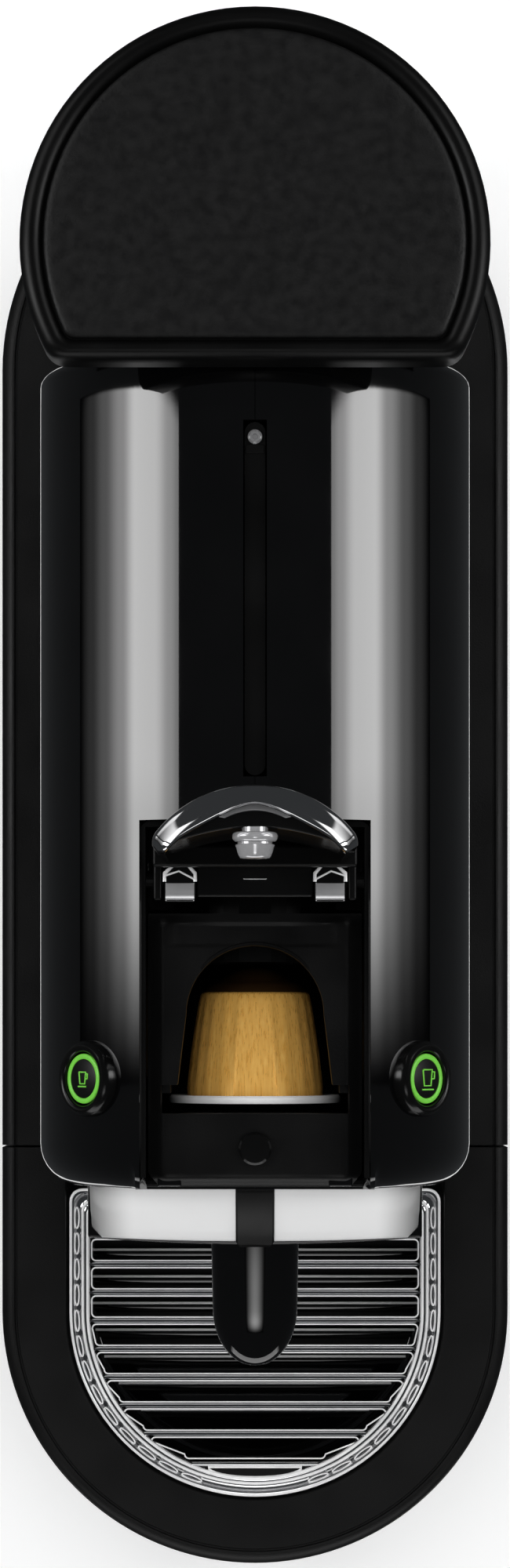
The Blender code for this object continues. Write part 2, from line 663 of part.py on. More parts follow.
def button_axis(sign):
    """The button's outward direction, square to the arch."""
    return Vector((math.sin(BUTTON_TILT) * sign, 0, math.cos(BUTTON_TILT)))


def button_rod(name, sign, profile, material):
    """A turned piece on the button's axis; height 0 is the arch's surface."""
    centre = Vector((0, BUTTON_Y, ARCH_SPRING_Z)) + button_axis(sign) * ARCH_R
    return turned(name, profile, centre, material, button_axis(sign), 32)


def buttons():
    for side, kind, sign in (("left", "espresso", -1), ("right", "lungo", 1)):
        collar = [(5.8, 2.2), (6.2, 2.6), (7.4, 2.5), (8.1, 1.6), (8.1, -4.0), (5.8, -4.0)]
        button_rod(f"button_collar_{side}", sign, collar, GLOSS_BLACK)
        cap = [(0, 1.9), (4.9, 1.9), (5.4, 1.4), (5.4, -4.8), (7.2, -4.8), (7.2, -6.0), (0, -6.0)]
        button_rod(f"{kind}_button", sign, cap, MATTE_BLACK)


# ---------------------------------------------------------------- tank


def tank():
    body = plate("water_tank", tank_outline(TANK_R, TANK_FLAT_Y), 70.6, TANK_TOP_Z, CLEAR)
    boolean(body, plate("tank_hollow", tank_outline(TANK_R - 2.2, TANK_FLAT_Y + 2.2), 76.5, 280))
    boolean(body, plate("tank_recess", tank_outline(TANK_R - 2.2, TANK_FLAT_Y + 2.2), 60, 74.0))
    boolean(body, rod("valve_hole", 5.6, (0, TANK_Y, 70), (0, TANK_Y, 80)))
    lid = plate("tank_lid", tank_outline(LID_R, LID_FLAT_Y), TANK_TOP_Z + 0.6, LID_TOP_Z, GRAINED_BLACK)
    bevel(lid, 1.6, 2)
    boolean(lid, plate("lid_hollow", tank_outline(LID_R - 2.2, LID_FLAT_Y + 2.2), 260, LID_TOP_Z - 2.5))
    valve = [(0, 79.5), (8, 79.5), (8, 76.9), (5.2, 76.9), (5.2, 73.7), (0, 73.7)]
    turned("tank_valve", valve, (0, TANK_Y, 0), DARK_GREY, steps=20)
    connector = [(6.9, 73.2), (6.9, 66.6), (10, 66.6), (10, 62), (3, 62), (3, 52), (1.8, 52), (1.8, 73.2)]
    turned("tank_connector", connector, (0, TANK_Y, 0), DARK_GREY, steps=20)
    seal = [(7.3, 73), (9, 73), (9, 70.4), (7.3, 70.4)]
    turned("tank_seal", seal, (0, TANK_Y, 0), RUBBER, steps=20)


def main():
    for build in (
        base_chassis, base_plate, feet, cord_inlet, drip_tray, lower_drip_grid, cup_support,
        capsule_container, container_front, body_covers, spine_strip, opening_frame, slot_cover, slot_plug,
        chin, spout, outlet, extraction_head, extraction_plate, capsule, cage, brew_frames, injector_block,
        column_frame, thermoblock, pump, flow_meter, circuit_board, hoses, lever, buttons, tank,
    ):
        build()


main()
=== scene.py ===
"""Looks of the pod coffee machine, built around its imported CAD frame.

Sizes are millimetres in this script; MM turns them into Blender's metres.
"""

import math

import bmesh
import bpy
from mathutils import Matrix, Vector


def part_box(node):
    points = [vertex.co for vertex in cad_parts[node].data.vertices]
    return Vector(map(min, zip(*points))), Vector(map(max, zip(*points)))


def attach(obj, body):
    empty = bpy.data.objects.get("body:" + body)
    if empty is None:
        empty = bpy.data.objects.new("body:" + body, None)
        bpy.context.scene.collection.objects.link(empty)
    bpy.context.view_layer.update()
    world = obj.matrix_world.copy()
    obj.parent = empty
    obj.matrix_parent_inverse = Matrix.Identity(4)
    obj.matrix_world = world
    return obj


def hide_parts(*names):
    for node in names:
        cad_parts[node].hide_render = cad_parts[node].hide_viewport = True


MM = 0.001
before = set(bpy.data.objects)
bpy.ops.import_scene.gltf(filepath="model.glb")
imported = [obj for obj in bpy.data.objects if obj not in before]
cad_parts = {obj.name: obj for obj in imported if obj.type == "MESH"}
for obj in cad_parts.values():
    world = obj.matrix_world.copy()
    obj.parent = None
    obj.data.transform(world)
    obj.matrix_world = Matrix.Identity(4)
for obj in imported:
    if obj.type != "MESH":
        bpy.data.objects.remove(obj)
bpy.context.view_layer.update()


def corner(node, end, axis):
    """A CAD node's extent in millimetres: end 0 is low, 1 is high; axis 0, 1, 2 is x, y, z."""
    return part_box(node)[end][axis] / MM


# ---------------------------------------------------------------- frame dimensions

BASE_HALF = corner("base_chassis", 1, 0)
BASE_ARC_Y = corner("base_chassis", 1, 1) - BASE_HALF
SEAM_REAR_Y = corner("base_chassis", 0, 1)
DECK_Z = corner("base_chassis", 1, 2)
ARCH_R = corner("right_cover", 1, 0)
BODY_FRONT_Y = corner("right_cover", 0, 1)
BODY_REAR_Y = corner("right_cover", 1, 1)
CROWN_Z = corner("right_cover", 1, 2)
SPRING_Z = CROWN_Z - ARCH_R
POCKET_HALF = 48.2
TRAY_SEAM_Y = SEAM_REAR_Y - 0.6
LID_TOP_Z = corner("tank_lid", 1, 2)
LID_R = corner("tank_lid", 1, 0)
LID_FLAT_Y = corner("tank_lid", 0, 1)
TANK_Y = corner("tank_lid", 1, 1) - LID_R
LEVER_TOP_Z = corner("lever_handle", 1, 2)
HANDLE_CROWN_Y = corner("lever_handle", 1, 1)
HANDLE_R = 24.8
SUPPORT_REAR_Y = corner("cup_support", 1, 1)
BREW_Z = (corner("capsule", 0, 2) + corner("capsule", 1, 2)) / 2
BUTTON_TILT = math.radians(48)
OPENING_HALF = 24.2
OPENING_REAR_Y = -4.7
GROOVE_HALF = 2.45
GROOVE_FRONT_Y = 4.0
GROOVE_REAR_Y = 78.0
MOUTH_HALF = 43.6
MOUTH_TOP_Z = 172.3
FRONT_WALL_TOP_Z = 246.5
FOOT_Z = DECK_Z + 0.3
BAY_HALF = 44.0
BAY_REAR_Y = -19.0
BAR_PITCH = 7.26
BAR_WIDTH = 1.1
FIRST_BAR_Y = -101.64
LENS_Y = -160.2  # straight edge of the cup support's front panel
GRID_REACH = 42.4
LOWER_BAR_Y = -94.9
LOWER_REACH = 44.5
OPENING_COLUMNS = 8  # columns of a cover's sheet from the groove to the opening's edge
SHEET = 2.4  # thickness of the gloss covers
SEAM_X = 0.06  # half the gap between the two covers
NOSE = 9.0  # rounding of the covers' front edge
TAIL = 2.5  # rounding of their rear edge
BUTTON_Y = -58.9
BUTTON_HOLE_R = 6.6
SLOT_R = 14.5
SLOT_ARCH_Y = -45.4
FLANK_HALF = 16.4  # half the slot where its flanks end
FLANK_END_Y = -60.2
FLANGE_HALF = 19.8  # half the gap for the capsule's flange
SLOT_END_Y = -66.2
SLOT_COVER_HALF = 22.5
SLOT_COVER_REAR_Y = -24.1
SLOT_COVER_FOOT_Z = 247.2
LUG_FRONT_Y = -21.8
SIDES = ((-1, "left"), (1, "right"))

# ---------------------------------------------------------------- camera and light

CAMERA_HEIGHT = 1072
CAMERA_Y = -48
LENS = 89.64
VIEW_SHIFT = 0.155


def place(name, data):
    """A new object in the scene."""
    obj = bpy.data.objects.new(name, data)
    bpy.context.scene.collection.objects.link(obj)
    return obj


def fill(node, values):
    """Sets a node's inputs by name."""
    for name, value in values.items():
        node.inputs[name].default_value = value


def make_camera():
    """A camera above the machine, shifted to frame it as in the view from above."""
    data = bpy.data.cameras.new("camera")
    data.sensor_fit = "VERTICAL"
    data.sensor_height = 36
    data.lens = LENS
    data.shift_y = VIEW_SHIFT
    data.clip_start = 0.01
    camera = place("camera", data)
    camera.location = (0, CAMERA_Y * MM, CAMERA_HEIGHT * MM)
    bpy.context.scene.camera = camera


def new_material(name):
    """A node material: itself, its nodes, its links and its shader."""
    material = bpy.data.materials.new(name)
    material.use_nodes = True
    nodes = material.node_tree.nodes
    shader = nodes["Principled BSDF"]
    return material, nodes, material.node_tree.links, shader


def glow_card(name, corners, strength, fade):
    """A light card that the camera doesn't see; fade lists the (axis, stops) that dim it along X or Y."""
    mesh = bpy.data.meshes.new(name)
    mesh.from_pydata([tuple(c * MM for c in p) for p in corners], [], [(0, 1, 2, 3)])
    layer = mesh.uv_layers.new(name="card")
    for loop, uv in zip(layer.data, ((0, 0), (1, 0), (1, 1), (0, 1))):
        loop.uv = uv
    card = place(name, mesh)
    card.visible_camera = False
    material, nodes, links, _ = new_material(name)
    nodes.clear()
    out = nodes.new("ShaderNodeOutputMaterial")
    glow = nodes.new("ShaderNodeEmission")
    coordinate = nodes.new("ShaderNodeTexCoord")
    split = nodes.new("ShaderNodeSeparateXYZ")
    links.new(coordinate.outputs["UV"], split.inputs[0])
    level = None
    for axis, stops in fade:
        ramp = nodes.new("ShaderNodeValToRGB")
        ramp.color_ramp.interpolation = "EASE"
        while len(ramp.color_ramp.elements) < len(stops):
            ramp.color_ramp.elements.new(0.5)
        for element, (at, value) in zip(ramp.color_ramp.elements, stops):
            element.position = at
            element.color = (value, value, value, 1)
        links.new(split.outputs[axis], ramp.inputs[0])
        if level is None:
            level = ramp.outputs[0]
        else:
            product = nodes.new("ShaderNodeMath")
            product.operation = "MULTIPLY"
            links.new(level, product.inputs[0])
            links.new(ramp.outputs[0], product.inputs[1])
            level = product.outputs[0]
    power = nodes.new("ShaderNodeMath")
    power.operation = "MULTIPLY"
    power.inputs[1].default_value = strength
    links.new(level, power.inputs[0])
    links.new(power.outputs[0], glow.inputs["Strength"])
    links.new(glow.outputs[0], out.inputs[0])
    card.data.materials.append(material)


def make_stage():
    """Pale floor, light cards, a dim world that looks pale behind the object, and one soft lamp overhead."""
    for name, half, z, glossy in (("floor_far", 6000, -0.8, False), ("floor_near", 90, -0.2, True)):
        bpy.ops.mesh.primitive_plane_add(size=2)
        floor = bpy.context.active_object
        floor.name = name
        floor.scale = (half * MM, half * MM * (1 if half > 1000 else 2.4), 1)
        floor.location.z = z * MM
        floor.visible_glossy = glossy
        material, _, _, shader = new_material(name)
        fill(shader, {"Base Color": (0.86, 0.86, 0.86, 1), "Roughness": 0.9, "Specular IOR Level": 0.0,
            "Emission Color": (1, 1, 1, 1), "Emission Strength": 0.3})
        floor.data.materials.append(material)
    fade_in = ("Y", [(0.0, 0.0), (0.33, 0.85), (0.45, 1.0), (0.95, 1.0), (1.0, 0.0)])
    side = [("X", [(0.0, 0.28), (0.10, 0.45), (0.24, 0.82), (0.40, 0.85), (0.52, 0.36), (0.68, 0.11),
        (0.82, 0.03), (1.0, 0.0)]), fade_in]
    soft = [("X", [(0.0, 0.0), (0.15, 1.0), (0.6, 0.5), (1.0, 0.0)]),
        ("Y", [(0.0, 0.0), (0.12, 1.0), (0.9, 1.0), (1.0, 0.0)])]
    for name, inner, outer, near, far, high, low, strength, fade in (
        ("side_card", 537, 781, -70, 212, 866, 20, 7.0, side),
        ("rear_card", 400, 700, 262, 760, 900, 200, 1.8, soft)):
        for sign, label in SIDES:
            corners = [(inner * sign, near, high), (outer * sign, near, low), (outer * sign, far, low),
                (inner * sign, far, high)]
            glow_card(f"{name}_{label}", corners, strength, fade)
    spot = [("X", [(0.0, 0.0), (0.5, 1.0), (1.0, 0.0)]),
        ("Y", [(0.0, 0.0), (0.3, 1.0), (0.55, 0.6), (1.0, 0.0)])]
    glow_card("spout_card", [(-190, -760, 1000), (190, -760, 1000), (190, -260, 1000), (-190, -260, 1000)],
        3.2, spot)
    even = [("X", [(0.0, 0.0), (0.1, 1.0), (0.9, 1.0), (1.0, 0.0)])]
    glow_card("front_card", [(-700, -900, 40), (700, -900, 40), (700, -900, 420), (-700, -900, 420)], 1.6,
        even)
    world = bpy.data.worlds.new("studio")
    world.use_nodes = True
    nodes, links = world.node_tree.nodes, world.node_tree.links
    background = nodes["Background"]
    background.inputs["Color"].default_value = (0.9, 0.95, 1.0, 1)
    seen = nodes.new("ShaderNodeLightPath")
    level = nodes.new("ShaderNodeMapRange")
    fill(level, {"To Min": 0.035, "To Max": 0.9})
    links.new(seen.outputs["Is Camera Ray"], level.inputs["Value"])
    links.new(level.outputs["Result"], background.inputs["Strength"])
    bpy.context.scene.world = world
    wash_data = bpy.data.lights.new("floor_wash", "AREA")
    wash_data.shape = "RECTANGLE"
    wash_data.size = 3.0
    wash_data.size_y = 3.0
    wash_data.energy = 60
    wash = place("floor_wash", wash_data)
    wash.location = (0, 0, 2.6)
    wash.visible_glossy = False
    wash.visible_camera = False
    bpy.context.scene.view_settings.view_transform = "Standard"


# ---------------------------------------------------------------- materials


def noise(nodes, links, scale, detail=4.0, stretch=(1, 1, 1)):
    """A noise texture in object space, in noise cells per metre."""
    coordinate = nodes.new("ShaderNodeTexCoord")
    mapping = nodes.new("ShaderNodeMapping")
    mapping.inputs["Scale"].default_value = stretch
    texture = nodes.new("ShaderNodeTexNoise")
    texture.inputs["Scale"].default_value = scale
    texture.inputs["Detail"].default_value = detail
    links.new(coordinate.outputs["Object"], mapping.inputs["Vector"])
    links.new(mapping.outputs["Vector"], texture.inputs["Vector"])
    return texture.outputs["Fac"]


def spread(nodes, links, source, low, high):
    """Stretches the middle of a 0 to 1 noise value onto a range."""
    ranged = nodes.new("ShaderNodeMapRange")
    fill(ranged, {"From Min": 0.3, "From Max": 0.7, "To Min": low, "To Max": high})
    links.new(source, ranged.inputs["Value"])
    return ranged.outputs["Result"]


def tint(nodes, links, source, dark, light):
    """Mixes two colours by a value."""
    mix = nodes.new("ShaderNodeMix")
    mix.data_type = "RGBA"
    mix.inputs["A"].default_value = (*dark, 1)
    mix.inputs["B"].default_value = (*light, 1)
    links.new(source, mix.inputs["Factor"])
    return mix.outputs["Result"]


def bump(nodes, links, shader, source, depth, strength=1.0):
    """Raises the surface by a height in millimetres."""
    relief = nodes.new("ShaderNodeBump")
    relief.inputs["Strength"].default_value = strength
    relief.inputs["Distance"].default_value = depth * MM
    links.new(source, relief.inputs["Height"])
    links.new(relief.outputs["Normal"], shader.inputs["Normal"])


def surface(name, dark, light, rough, metallic=0.0, grain=900, depth=0.02, specular=0.5, coat=0.0,
        stretch=(1, 1, 1), patch=60):
    """A moulded, cast or plated surface: patchy colour, uneven roughness and a fine grain."""
    material, nodes, links, shader = new_material(name)
    patches = noise(nodes, links, patch, 5.0, stretch)
    fine = noise(nodes, links, grain, 3.0, stretch)
    links.new(tint(nodes, links, spread(nodes, links, patches, 0, 1), dark, light),
        shader.inputs["Base Color"])
    links.new(spread(nodes, links, patches, rough[0], rough[1]), shader.inputs["Roughness"])
    bump(nodes, links, shader, fine, depth)
    fill(shader, {"Metallic": metallic, "Specular IOR Level": specular, "Coat Weight": coat,
        "Coat Roughness": 0.03})
    return material


def glowing(name, colour, strength):
    """A lit light guide, a little uneven."""
    material, nodes, links, shader = new_material(name)
    cloudy = noise(nodes, links, 700, 2.0)
    dim = tuple(c * 0.8 for c in colour)
    shade = tint(nodes, links, cloudy, dim, colour)
    links.new(shade, shader.inputs["Base Color"])
    links.new(shade, shader.inputs["Emission Color"])
    fill(shader, {"Emission Strength": strength, "Roughness": 0.4})
    return material


def clear(name, colour, rough):
    """Clear moulded plastic with a faint ripple."""
    material, nodes, links, shader = new_material(name)
    ripple = noise(nodes, links, 40, 3.0)
    links.new(spread(nodes, links, ripple, rough, rough + 0.04), shader.inputs["Roughness"])
    links.new(tint(nodes, links, ripple, colour, tuple(min(1, c * 1.15) for c in colour)),
        shader.inputs["Base Color"])
    bump(nodes, links, shader, ripple, 0.03)
    fill(shader, {"Transmission Weight": 1.0, "IOR": 1.2})
    return material


def white_with_painted_end_shade(name, half):
    """Bright plated plastic with painted shade: its colour greys towards both ends of a piece half this many
    metres wide.
    """
    material, nodes, links, shader = new_material(name)
    coordinate = nodes.new("ShaderNodeTexCoord")
    split = nodes.new("ShaderNodeSeparateXYZ")
    links.new(coordinate.outputs["Object"], split.inputs[0])
    aside = nodes.new("ShaderNodeMath")
    aside.operation = "ABSOLUTE"
    links.new(split.outputs["X"], aside.inputs[0])
    edge = nodes.new("ShaderNodeMapRange")
    edge.interpolation_type = "SMOOTHSTEP"
    edge.inputs["From Min"].default_value = half * 0.72
    edge.inputs["From Max"].default_value = half * 1.04
    links.new(aside.outputs[0], edge.inputs["Value"])
    # painted shade: white in the middle, turning dark grey towards both ends
    shade = tint(nodes, links, edge.outputs["Result"], (1.0, 1.0, 1.0), (0.18, 0.18, 0.18))
    links.new(shade, shader.inputs["Base Color"])
    fine = noise(nodes, links, 900, 3.0)
    links.new(spread(nodes, links, fine, 0.18, 0.26), shader.inputs["Roughness"])
    bump(nodes, links, shader, fine, 0.004)
    return material


def grey(level):
    return (level, level, level)


def make_materials():
    """Every finish by name: moulded, cast and plated ones from the table, then the three special ones."""
    table = {
        "gloss_black": dict(dark=(0.0010, 0.0010, 0.0011), light=(0.0016, 0.0016, 0.0017),
            rough=(0.03, 0.06),
            grain=350, depth=0.002, coat=1.0),
        "matte_black": dict(dark=(0.0022, 0.0022, 0.0023), light=grey(0.0034), rough=(0.38, 0.46),
            grain=2600,
            specular=0.3),
        "grained_black": dict(dark=grey(0.0030), light=grey(0.0046), rough=(0.40, 0.52), grain=2200,
            depth=0.05,
            specular=0.30),
        "lid_black": dict(dark=(0.0036, 0.0036, 0.0037), light=grey(0.0068), rough=(0.42, 0.54),
            grain=1700,
            depth=0.10, specular=0.32, patch=420),
        "cone_brown": dict(dark=(0.03, 0.015, 0.006), light=(0.06, 0.03, 0.01), rough=(0.3, 0.45),
            metallic=0.6),
        "dark_grey": dict(dark=grey(0.012), light=grey(0.02), rough=(0.4, 0.5), grain=1500),
        "chrome": dict(dark=(0.80, 0.80, 0.81), light=(0.86, 0.86, 0.87), rough=(0.03, 0.07),
            metallic=1.0,
            grain=200, depth=0.001),
        "steel": dict(dark=(0.45, 0.45, 0.46), light=(0.6, 0.6, 0.61), rough=(0.22, 0.35),
            metallic=1.0, grain=1500,
            depth=0.006, stretch=(0.05, 1, 1)),
        "brass": dict(dark=(0.5, 0.36, 0.15), light=(0.65, 0.48, 0.22), rough=(0.2, 0.35),
            metallic=1.0),
        "cast_aluminium": dict(dark=(0.4, 0.4, 0.41), light=(0.6, 0.6, 0.61), rough=(0.35, 0.5),
            metallic=1.0,
            depth=0.06),
        "gold_foil": dict(dark=(0.80, 0.39, 0.068), light=(1.0, 0.59, 0.15), rough=(0.24, 0.36),
            metallic=0.4,
            grain=400, depth=0.0001, stretch=(1, 0.008, 1), patch=2600),
        "silver_rim": dict(dark=grey(0.8), light=grey(0.95), rough=(0.18, 0.25), metallic=0.25),
        # painted highlight: a near-white, mostly diffuse finish for thin lines that stand for highlights on
        # chrome and metal
        "painted_highlight_plate": dict(dark=(0.85, 0.85, 0.86), light=grey(1.0), rough=(0.10, 0.18),
            metallic=0.12,
            depth=0.004, patch=120),
        "knob_plate": dict(dark=(0.42, 0.42, 0.43), light=(0.62, 0.62, 0.63), rough=(0.10, 0.16),
            metallic=0.55,
            depth=0.003),
        "lid_rim": dict(dark=grey(0.0012), light=grey(0.0020), rough=(0.34, 0.44), grain=2200,
            depth=0.01,
            specular=0.25),
        "rubber": dict(dark=grey(0.006), light=grey(0.012), rough=(0.6, 0.8), grain=1200,
            depth=0.03, specular=0.3),
        "silicone": dict(dark=(0.35, 0.35, 0.33), light=(0.5, 0.5, 0.47), rough=(0.35, 0.5)),
        "circuit_green": dict(dark=(0.004, 0.05, 0.02), light=(0.01, 0.1, 0.04), rough=(0.3, 0.45),
            grain=700,
            depth=0.1),
        "slot_grey": dict(dark=grey(0.0012), light=grey(0.0026), rough=(0.34, 0.44), grain=2400,
            depth=0.04,
            specular=0.34),
        "lever_black": dict(dark=grey(0.0020), light=grey(0.0034), rough=(0.16, 0.24), grain=1800,
            depth=0.004,
            specular=0.35),
        "dark_chrome": dict(dark=(0.20, 0.20, 0.205), light=(0.28, 0.28, 0.285), rough=(0.12, 0.2),
            metallic=0.5,
            grain=500, depth=0.002),
    }
    made = {name: surface(name, **settings) for name, settings in table.items()}
    made["chin_white"] = white_with_painted_end_shade("chin_white", 0.0375)
    made["clear_plastic"] = clear("clear_plastic", (0.62, 0.65, 0.66), 0.03)
    made["green_glow"] = glowing("green_glow", (0.13, 0.46, 0.045), 0.42)
    return made


# ---------------------------------------------------------------- pieces


def tidy_normals(mesh):
    """Turns every face outwards."""
    shape = bmesh.new()
    shape.from_mesh(mesh)
    bmesh.ops.recalc_face_normals(shape, faces=shape.faces)
    shape.to_mesh(mesh)
    shape.free()


def piece(name, vertices, faces, finish, body, node=None):
    """A mesh given in millimetres that rides on a body and stands in for a CAD node."""
    mesh = bpy.data.meshes.new(name)
    mesh.from_pydata([tuple(c * MM for c in v) for v in vertices], [], faces)
    tidy_normals(mesh)
    mesh.shade_smooth()
    obj = place(name, mesh)
    obj.data.materials.append(FINISH[finish])
    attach(obj, body)
    if node:
        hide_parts(node)
    return obj


def soften(obj, width):
    """Rounds the sharp edges; every other face keeps its own normal."""
    bevel = obj.modifiers.new("soften", "BEVEL")
    bevel.width = width * MM
    bevel.segments = 3
    bevel.limit_method = "ANGLE"
    bevel.angle_limit = math.radians(30)
    bevel.harden_normals = True


def crease(obj, angle=35):
    """Keeps edges sharper than the angle crisp under smooth shading."""
    obj.data.set_sharp_from_angle(angle=math.radians(angle))
    return obj


def arc(cx, cy, radius, start, end, steps):
    """Points of an arc, in degrees from +x."""
    found = []
    for i in range(steps + 1):
        a = math.radians(start + (end - start) * i / steps)
        found.append((cx + radius * math.cos(a), cy + radius * math.sin(a)))
    return found


def dee(half, flat_y, centre_y, steps, round_off):
    """A circle cut by a flat side towards the front, its two corners rounded."""
    inner = half - round_off
    cy = flat_y + round_off
    cx = math.sqrt(inner * inner - (cy - centre_y) ** 2)
    a0 = math.degrees(math.atan2(cy - centre_y, cx))
    points = arc(0, centre_y, half, a0, 180 - a0, steps)
    points += arc(-cx, cy, round_off, 180 - a0, 270, 8)[1:]
    points += arc(cx, cy, round_off, 270, 360 + a0, 8)[:-1]
    return points


def net(rows, columns, round_rows=False, round_columns=False):
    """Four-sided faces between rows of points, joined up at the end where a direction goes round."""
    faces = []
    for r in range(rows if round_rows else rows - 1):
        s = (r + 1) % rows
        for i in range(columns if round_columns else columns - 1):
            j = (i + 1) % columns
            faces.append((r * columns + i, r * columns + j, s * columns + j, s * columns + i))
    return faces


def flatten(rings):
    return [point for ring in rings for point in ring]


def stack(rings, close_top=True, close_bottom=True):
    """Faces between rings of points, given from bottom to top."""
    count = len(rings[0])
    vertices = flatten(rings)
    faces = net(len(rings), count, round_columns=True)
    if close_bottom:
        faces.append(tuple(reversed(range(count))))
    if close_top:
        faces.append(tuple((len(rings) - 1) * count + i for i in range(count)))
    return vertices, faces


def at_height(outline, z):
    """A flat outline as points at one height."""
    return [(x, y, z) for x, y in outline]


def sheet_metal(name, outline, low, high, finish, body, node=None, bevel=0.5):
    """A flat plate cut to an outline, its top and bottom edges rounded."""
    vertices, faces = stack([at_height(outline, low), at_height(outline, high)])
    soften(crease(piece(name, vertices, faces, finish, body, node), 40), bevel)


def sweep(name, path, profile, finish, body, node=None, closed=False):
    """Carries a profile (sideways, upwards) along a path of points; sideways is level."""
    rings = []
    count = len(path)
    for i, point in enumerate(path):
        p = Vector(point)
        before = Vector(path[(i - 1) % count]) if closed or i > 0 else p
        after = Vector(path[(i + 1) % count]) if closed or i < count - 1 else p
        along = (after - before).normalized()
        side = along.cross(Vector((0, 0, 1))).normalized()
        up = side.cross(along)
        rings.append([tuple(p + side * u + up * v) for u, v in profile])
    size = len(profile)
    faces = net(count, size, closed, True)
    if not closed:
        faces.append(tuple(reversed(range(size))))
        faces.append(tuple((count - 1) * size + i for i in range(size)))
    obj = piece(name, flatten(rings), faces, finish, body, node)
    crease(obj, 50)
    return obj


def round_profile(radius, steps):
    """A circle as a profile for sweep."""
    return [(radius * math.cos(a), radius * math.sin(a))
        for a in (2 * math.pi * i / steps for i in range(steps))]


def spin(name, profile, origin, axis, finish, body, node=None, steps=72, angle=35):
    """A turned piece: a profile of (radius, height) along an axis from an origin."""
    axis = Vector(axis).normalized()
    side = axis.cross(Vector((0, 0, 1)) if abs(axis.z) < 0.9 else Vector((0, 1, 0))).normalized()
    other = axis.cross(side)
    origin = Vector(origin)
    rings = []
    for radius, height in profile:
        rings.append([tuple(origin + axis * height + side * radius * math.cos(a) + other * radius
            * math.sin(a)) for a in (2 * math.pi * i / steps for i in range(steps))])
    vertices, faces = stack(rings, close_top=profile[-1][0] > 0.01, close_bottom=profile[0][0] > 0.01)
    obj = piece(name, vertices, faces, finish, body, node)
    crease(obj, angle)
    return obj


def boxy(name, low, high, finish, body, bevel=0.5):
    """A block with rounded edges, between two corners."""
    outline = [(low[0], low[1]), (high[0], low[1]), (high[0], high[1]), (low[0], high[1])]
    return sheet_metal(name, outline, low[2], high[2], finish, body, bevel=bevel)


# ---------------------------------------------------------------- base: chassis rim and drip tray rim


def base_levels():
    """Inset and height of the base's outer wall and top: foot, wall, chamfered edge, groove and flat rim."""
    rim = ((0.0, 3.4), (0.2, 2.4), (0.8, 1.3), (1.7, 0.5), (2.5, 0.1), (2.9, 0), (3.3, 0), (3.5, 0.5),
        (3.9, 0.5), (4.1, 0), (4.6, 0))
    return [(1.2, 2.2), (0.3, 3.2), (0.0, 5.0)] + [(inset, DECK_Z - drop) for inset, drop in rim]


def make_base():
    """The rear half of the base, its deck closed, and the drip tray's rim around the open pocket in front."""
    def rear(inset):
        half = BASE_HALF - inset
        y = SEAM_REAR_Y
        bay = [(-BAY_HALF, y), (-BAY_HALF, BAY_REAR_Y), (BAY_HALF, BAY_REAR_Y), (BAY_HALF, y)]
        return arc(0, BASE_ARC_Y, half, 0, 180, 64) + [(-half, y)] + bay + [(half, y)]

    levels = [(i, max(z, 5.0)) for i, z in base_levels()]
    vertices, faces = stack([at_height(rear(inset), z) for inset, z in levels])
    base = piece("base_shell", vertices, faces, "grained_black", "machine", "base_chassis")
    crease(base, 30)

    def front(half):
        return [(half, TRAY_SEAM_Y)] + arc(0, -BASE_ARC_Y, half, 0, -180, 72) + [(-half, TRAY_SEAM_Y)]

    rings = [at_height(front(BASE_HALF - inset), z) for inset, z in base_levels()]
    rings += [at_height(front(POCKET_HALF + extra), DECK_Z - drop)
        for extra, drop in ((1.2, 0), (0.5, 0.2), (0.1, 0.8), (0, 1.6), (0, DECK_Z - 8.2))]
    rows, count = len(rings), len(rings[0])
    faces = net(rows, count)
    faces.append(tuple(range(count)))
    faces.append(tuple((rows - 1) * count + i for i in reversed(range(count))))
    faces.append(tuple(r * count for r in range(rows)))
    faces.append(tuple(r * count + count - 1 for r in reversed(range(rows))))
    crease(piece("drip_tray_shell", flatten(rings), faces, "grained_black", "drip_unit", "drip_tray"), 30)


# ---------------------------------------------------------------- cup support and grids


def support_outline(half, rear_y, corner_r=3.0):
    """The cup support's outline: a straight rear side, straight flanks, a half circle in front."""
    points = arc(half - corner_r, rear_y - corner_r, corner_r, 0, 90, 6)
    points += arc(-half + corner_r, rear_y - corner_r, corner_r, 90, 180, 6)
    points += arc(0, -BASE_ARC_Y, half, 180, 360, 56)
    return points


def ring_plate(name, outer, inner, levels, finish, body, node):
    """A ring between two outlines; levels are (share of the way from outer to inner, height)."""
    rings = []
    for share, z in levels:
        rings.append([(a[0] + (b[0] - a[0]) * share, a[1] + (b[1] - a[1]) * share, z)
            for a, b in zip(outer, inner)])
    faces = net(len(rings), len(rings[0]), True, True)
    crease(piece(name, flatten(rings), faces, finish, body, node), 40)


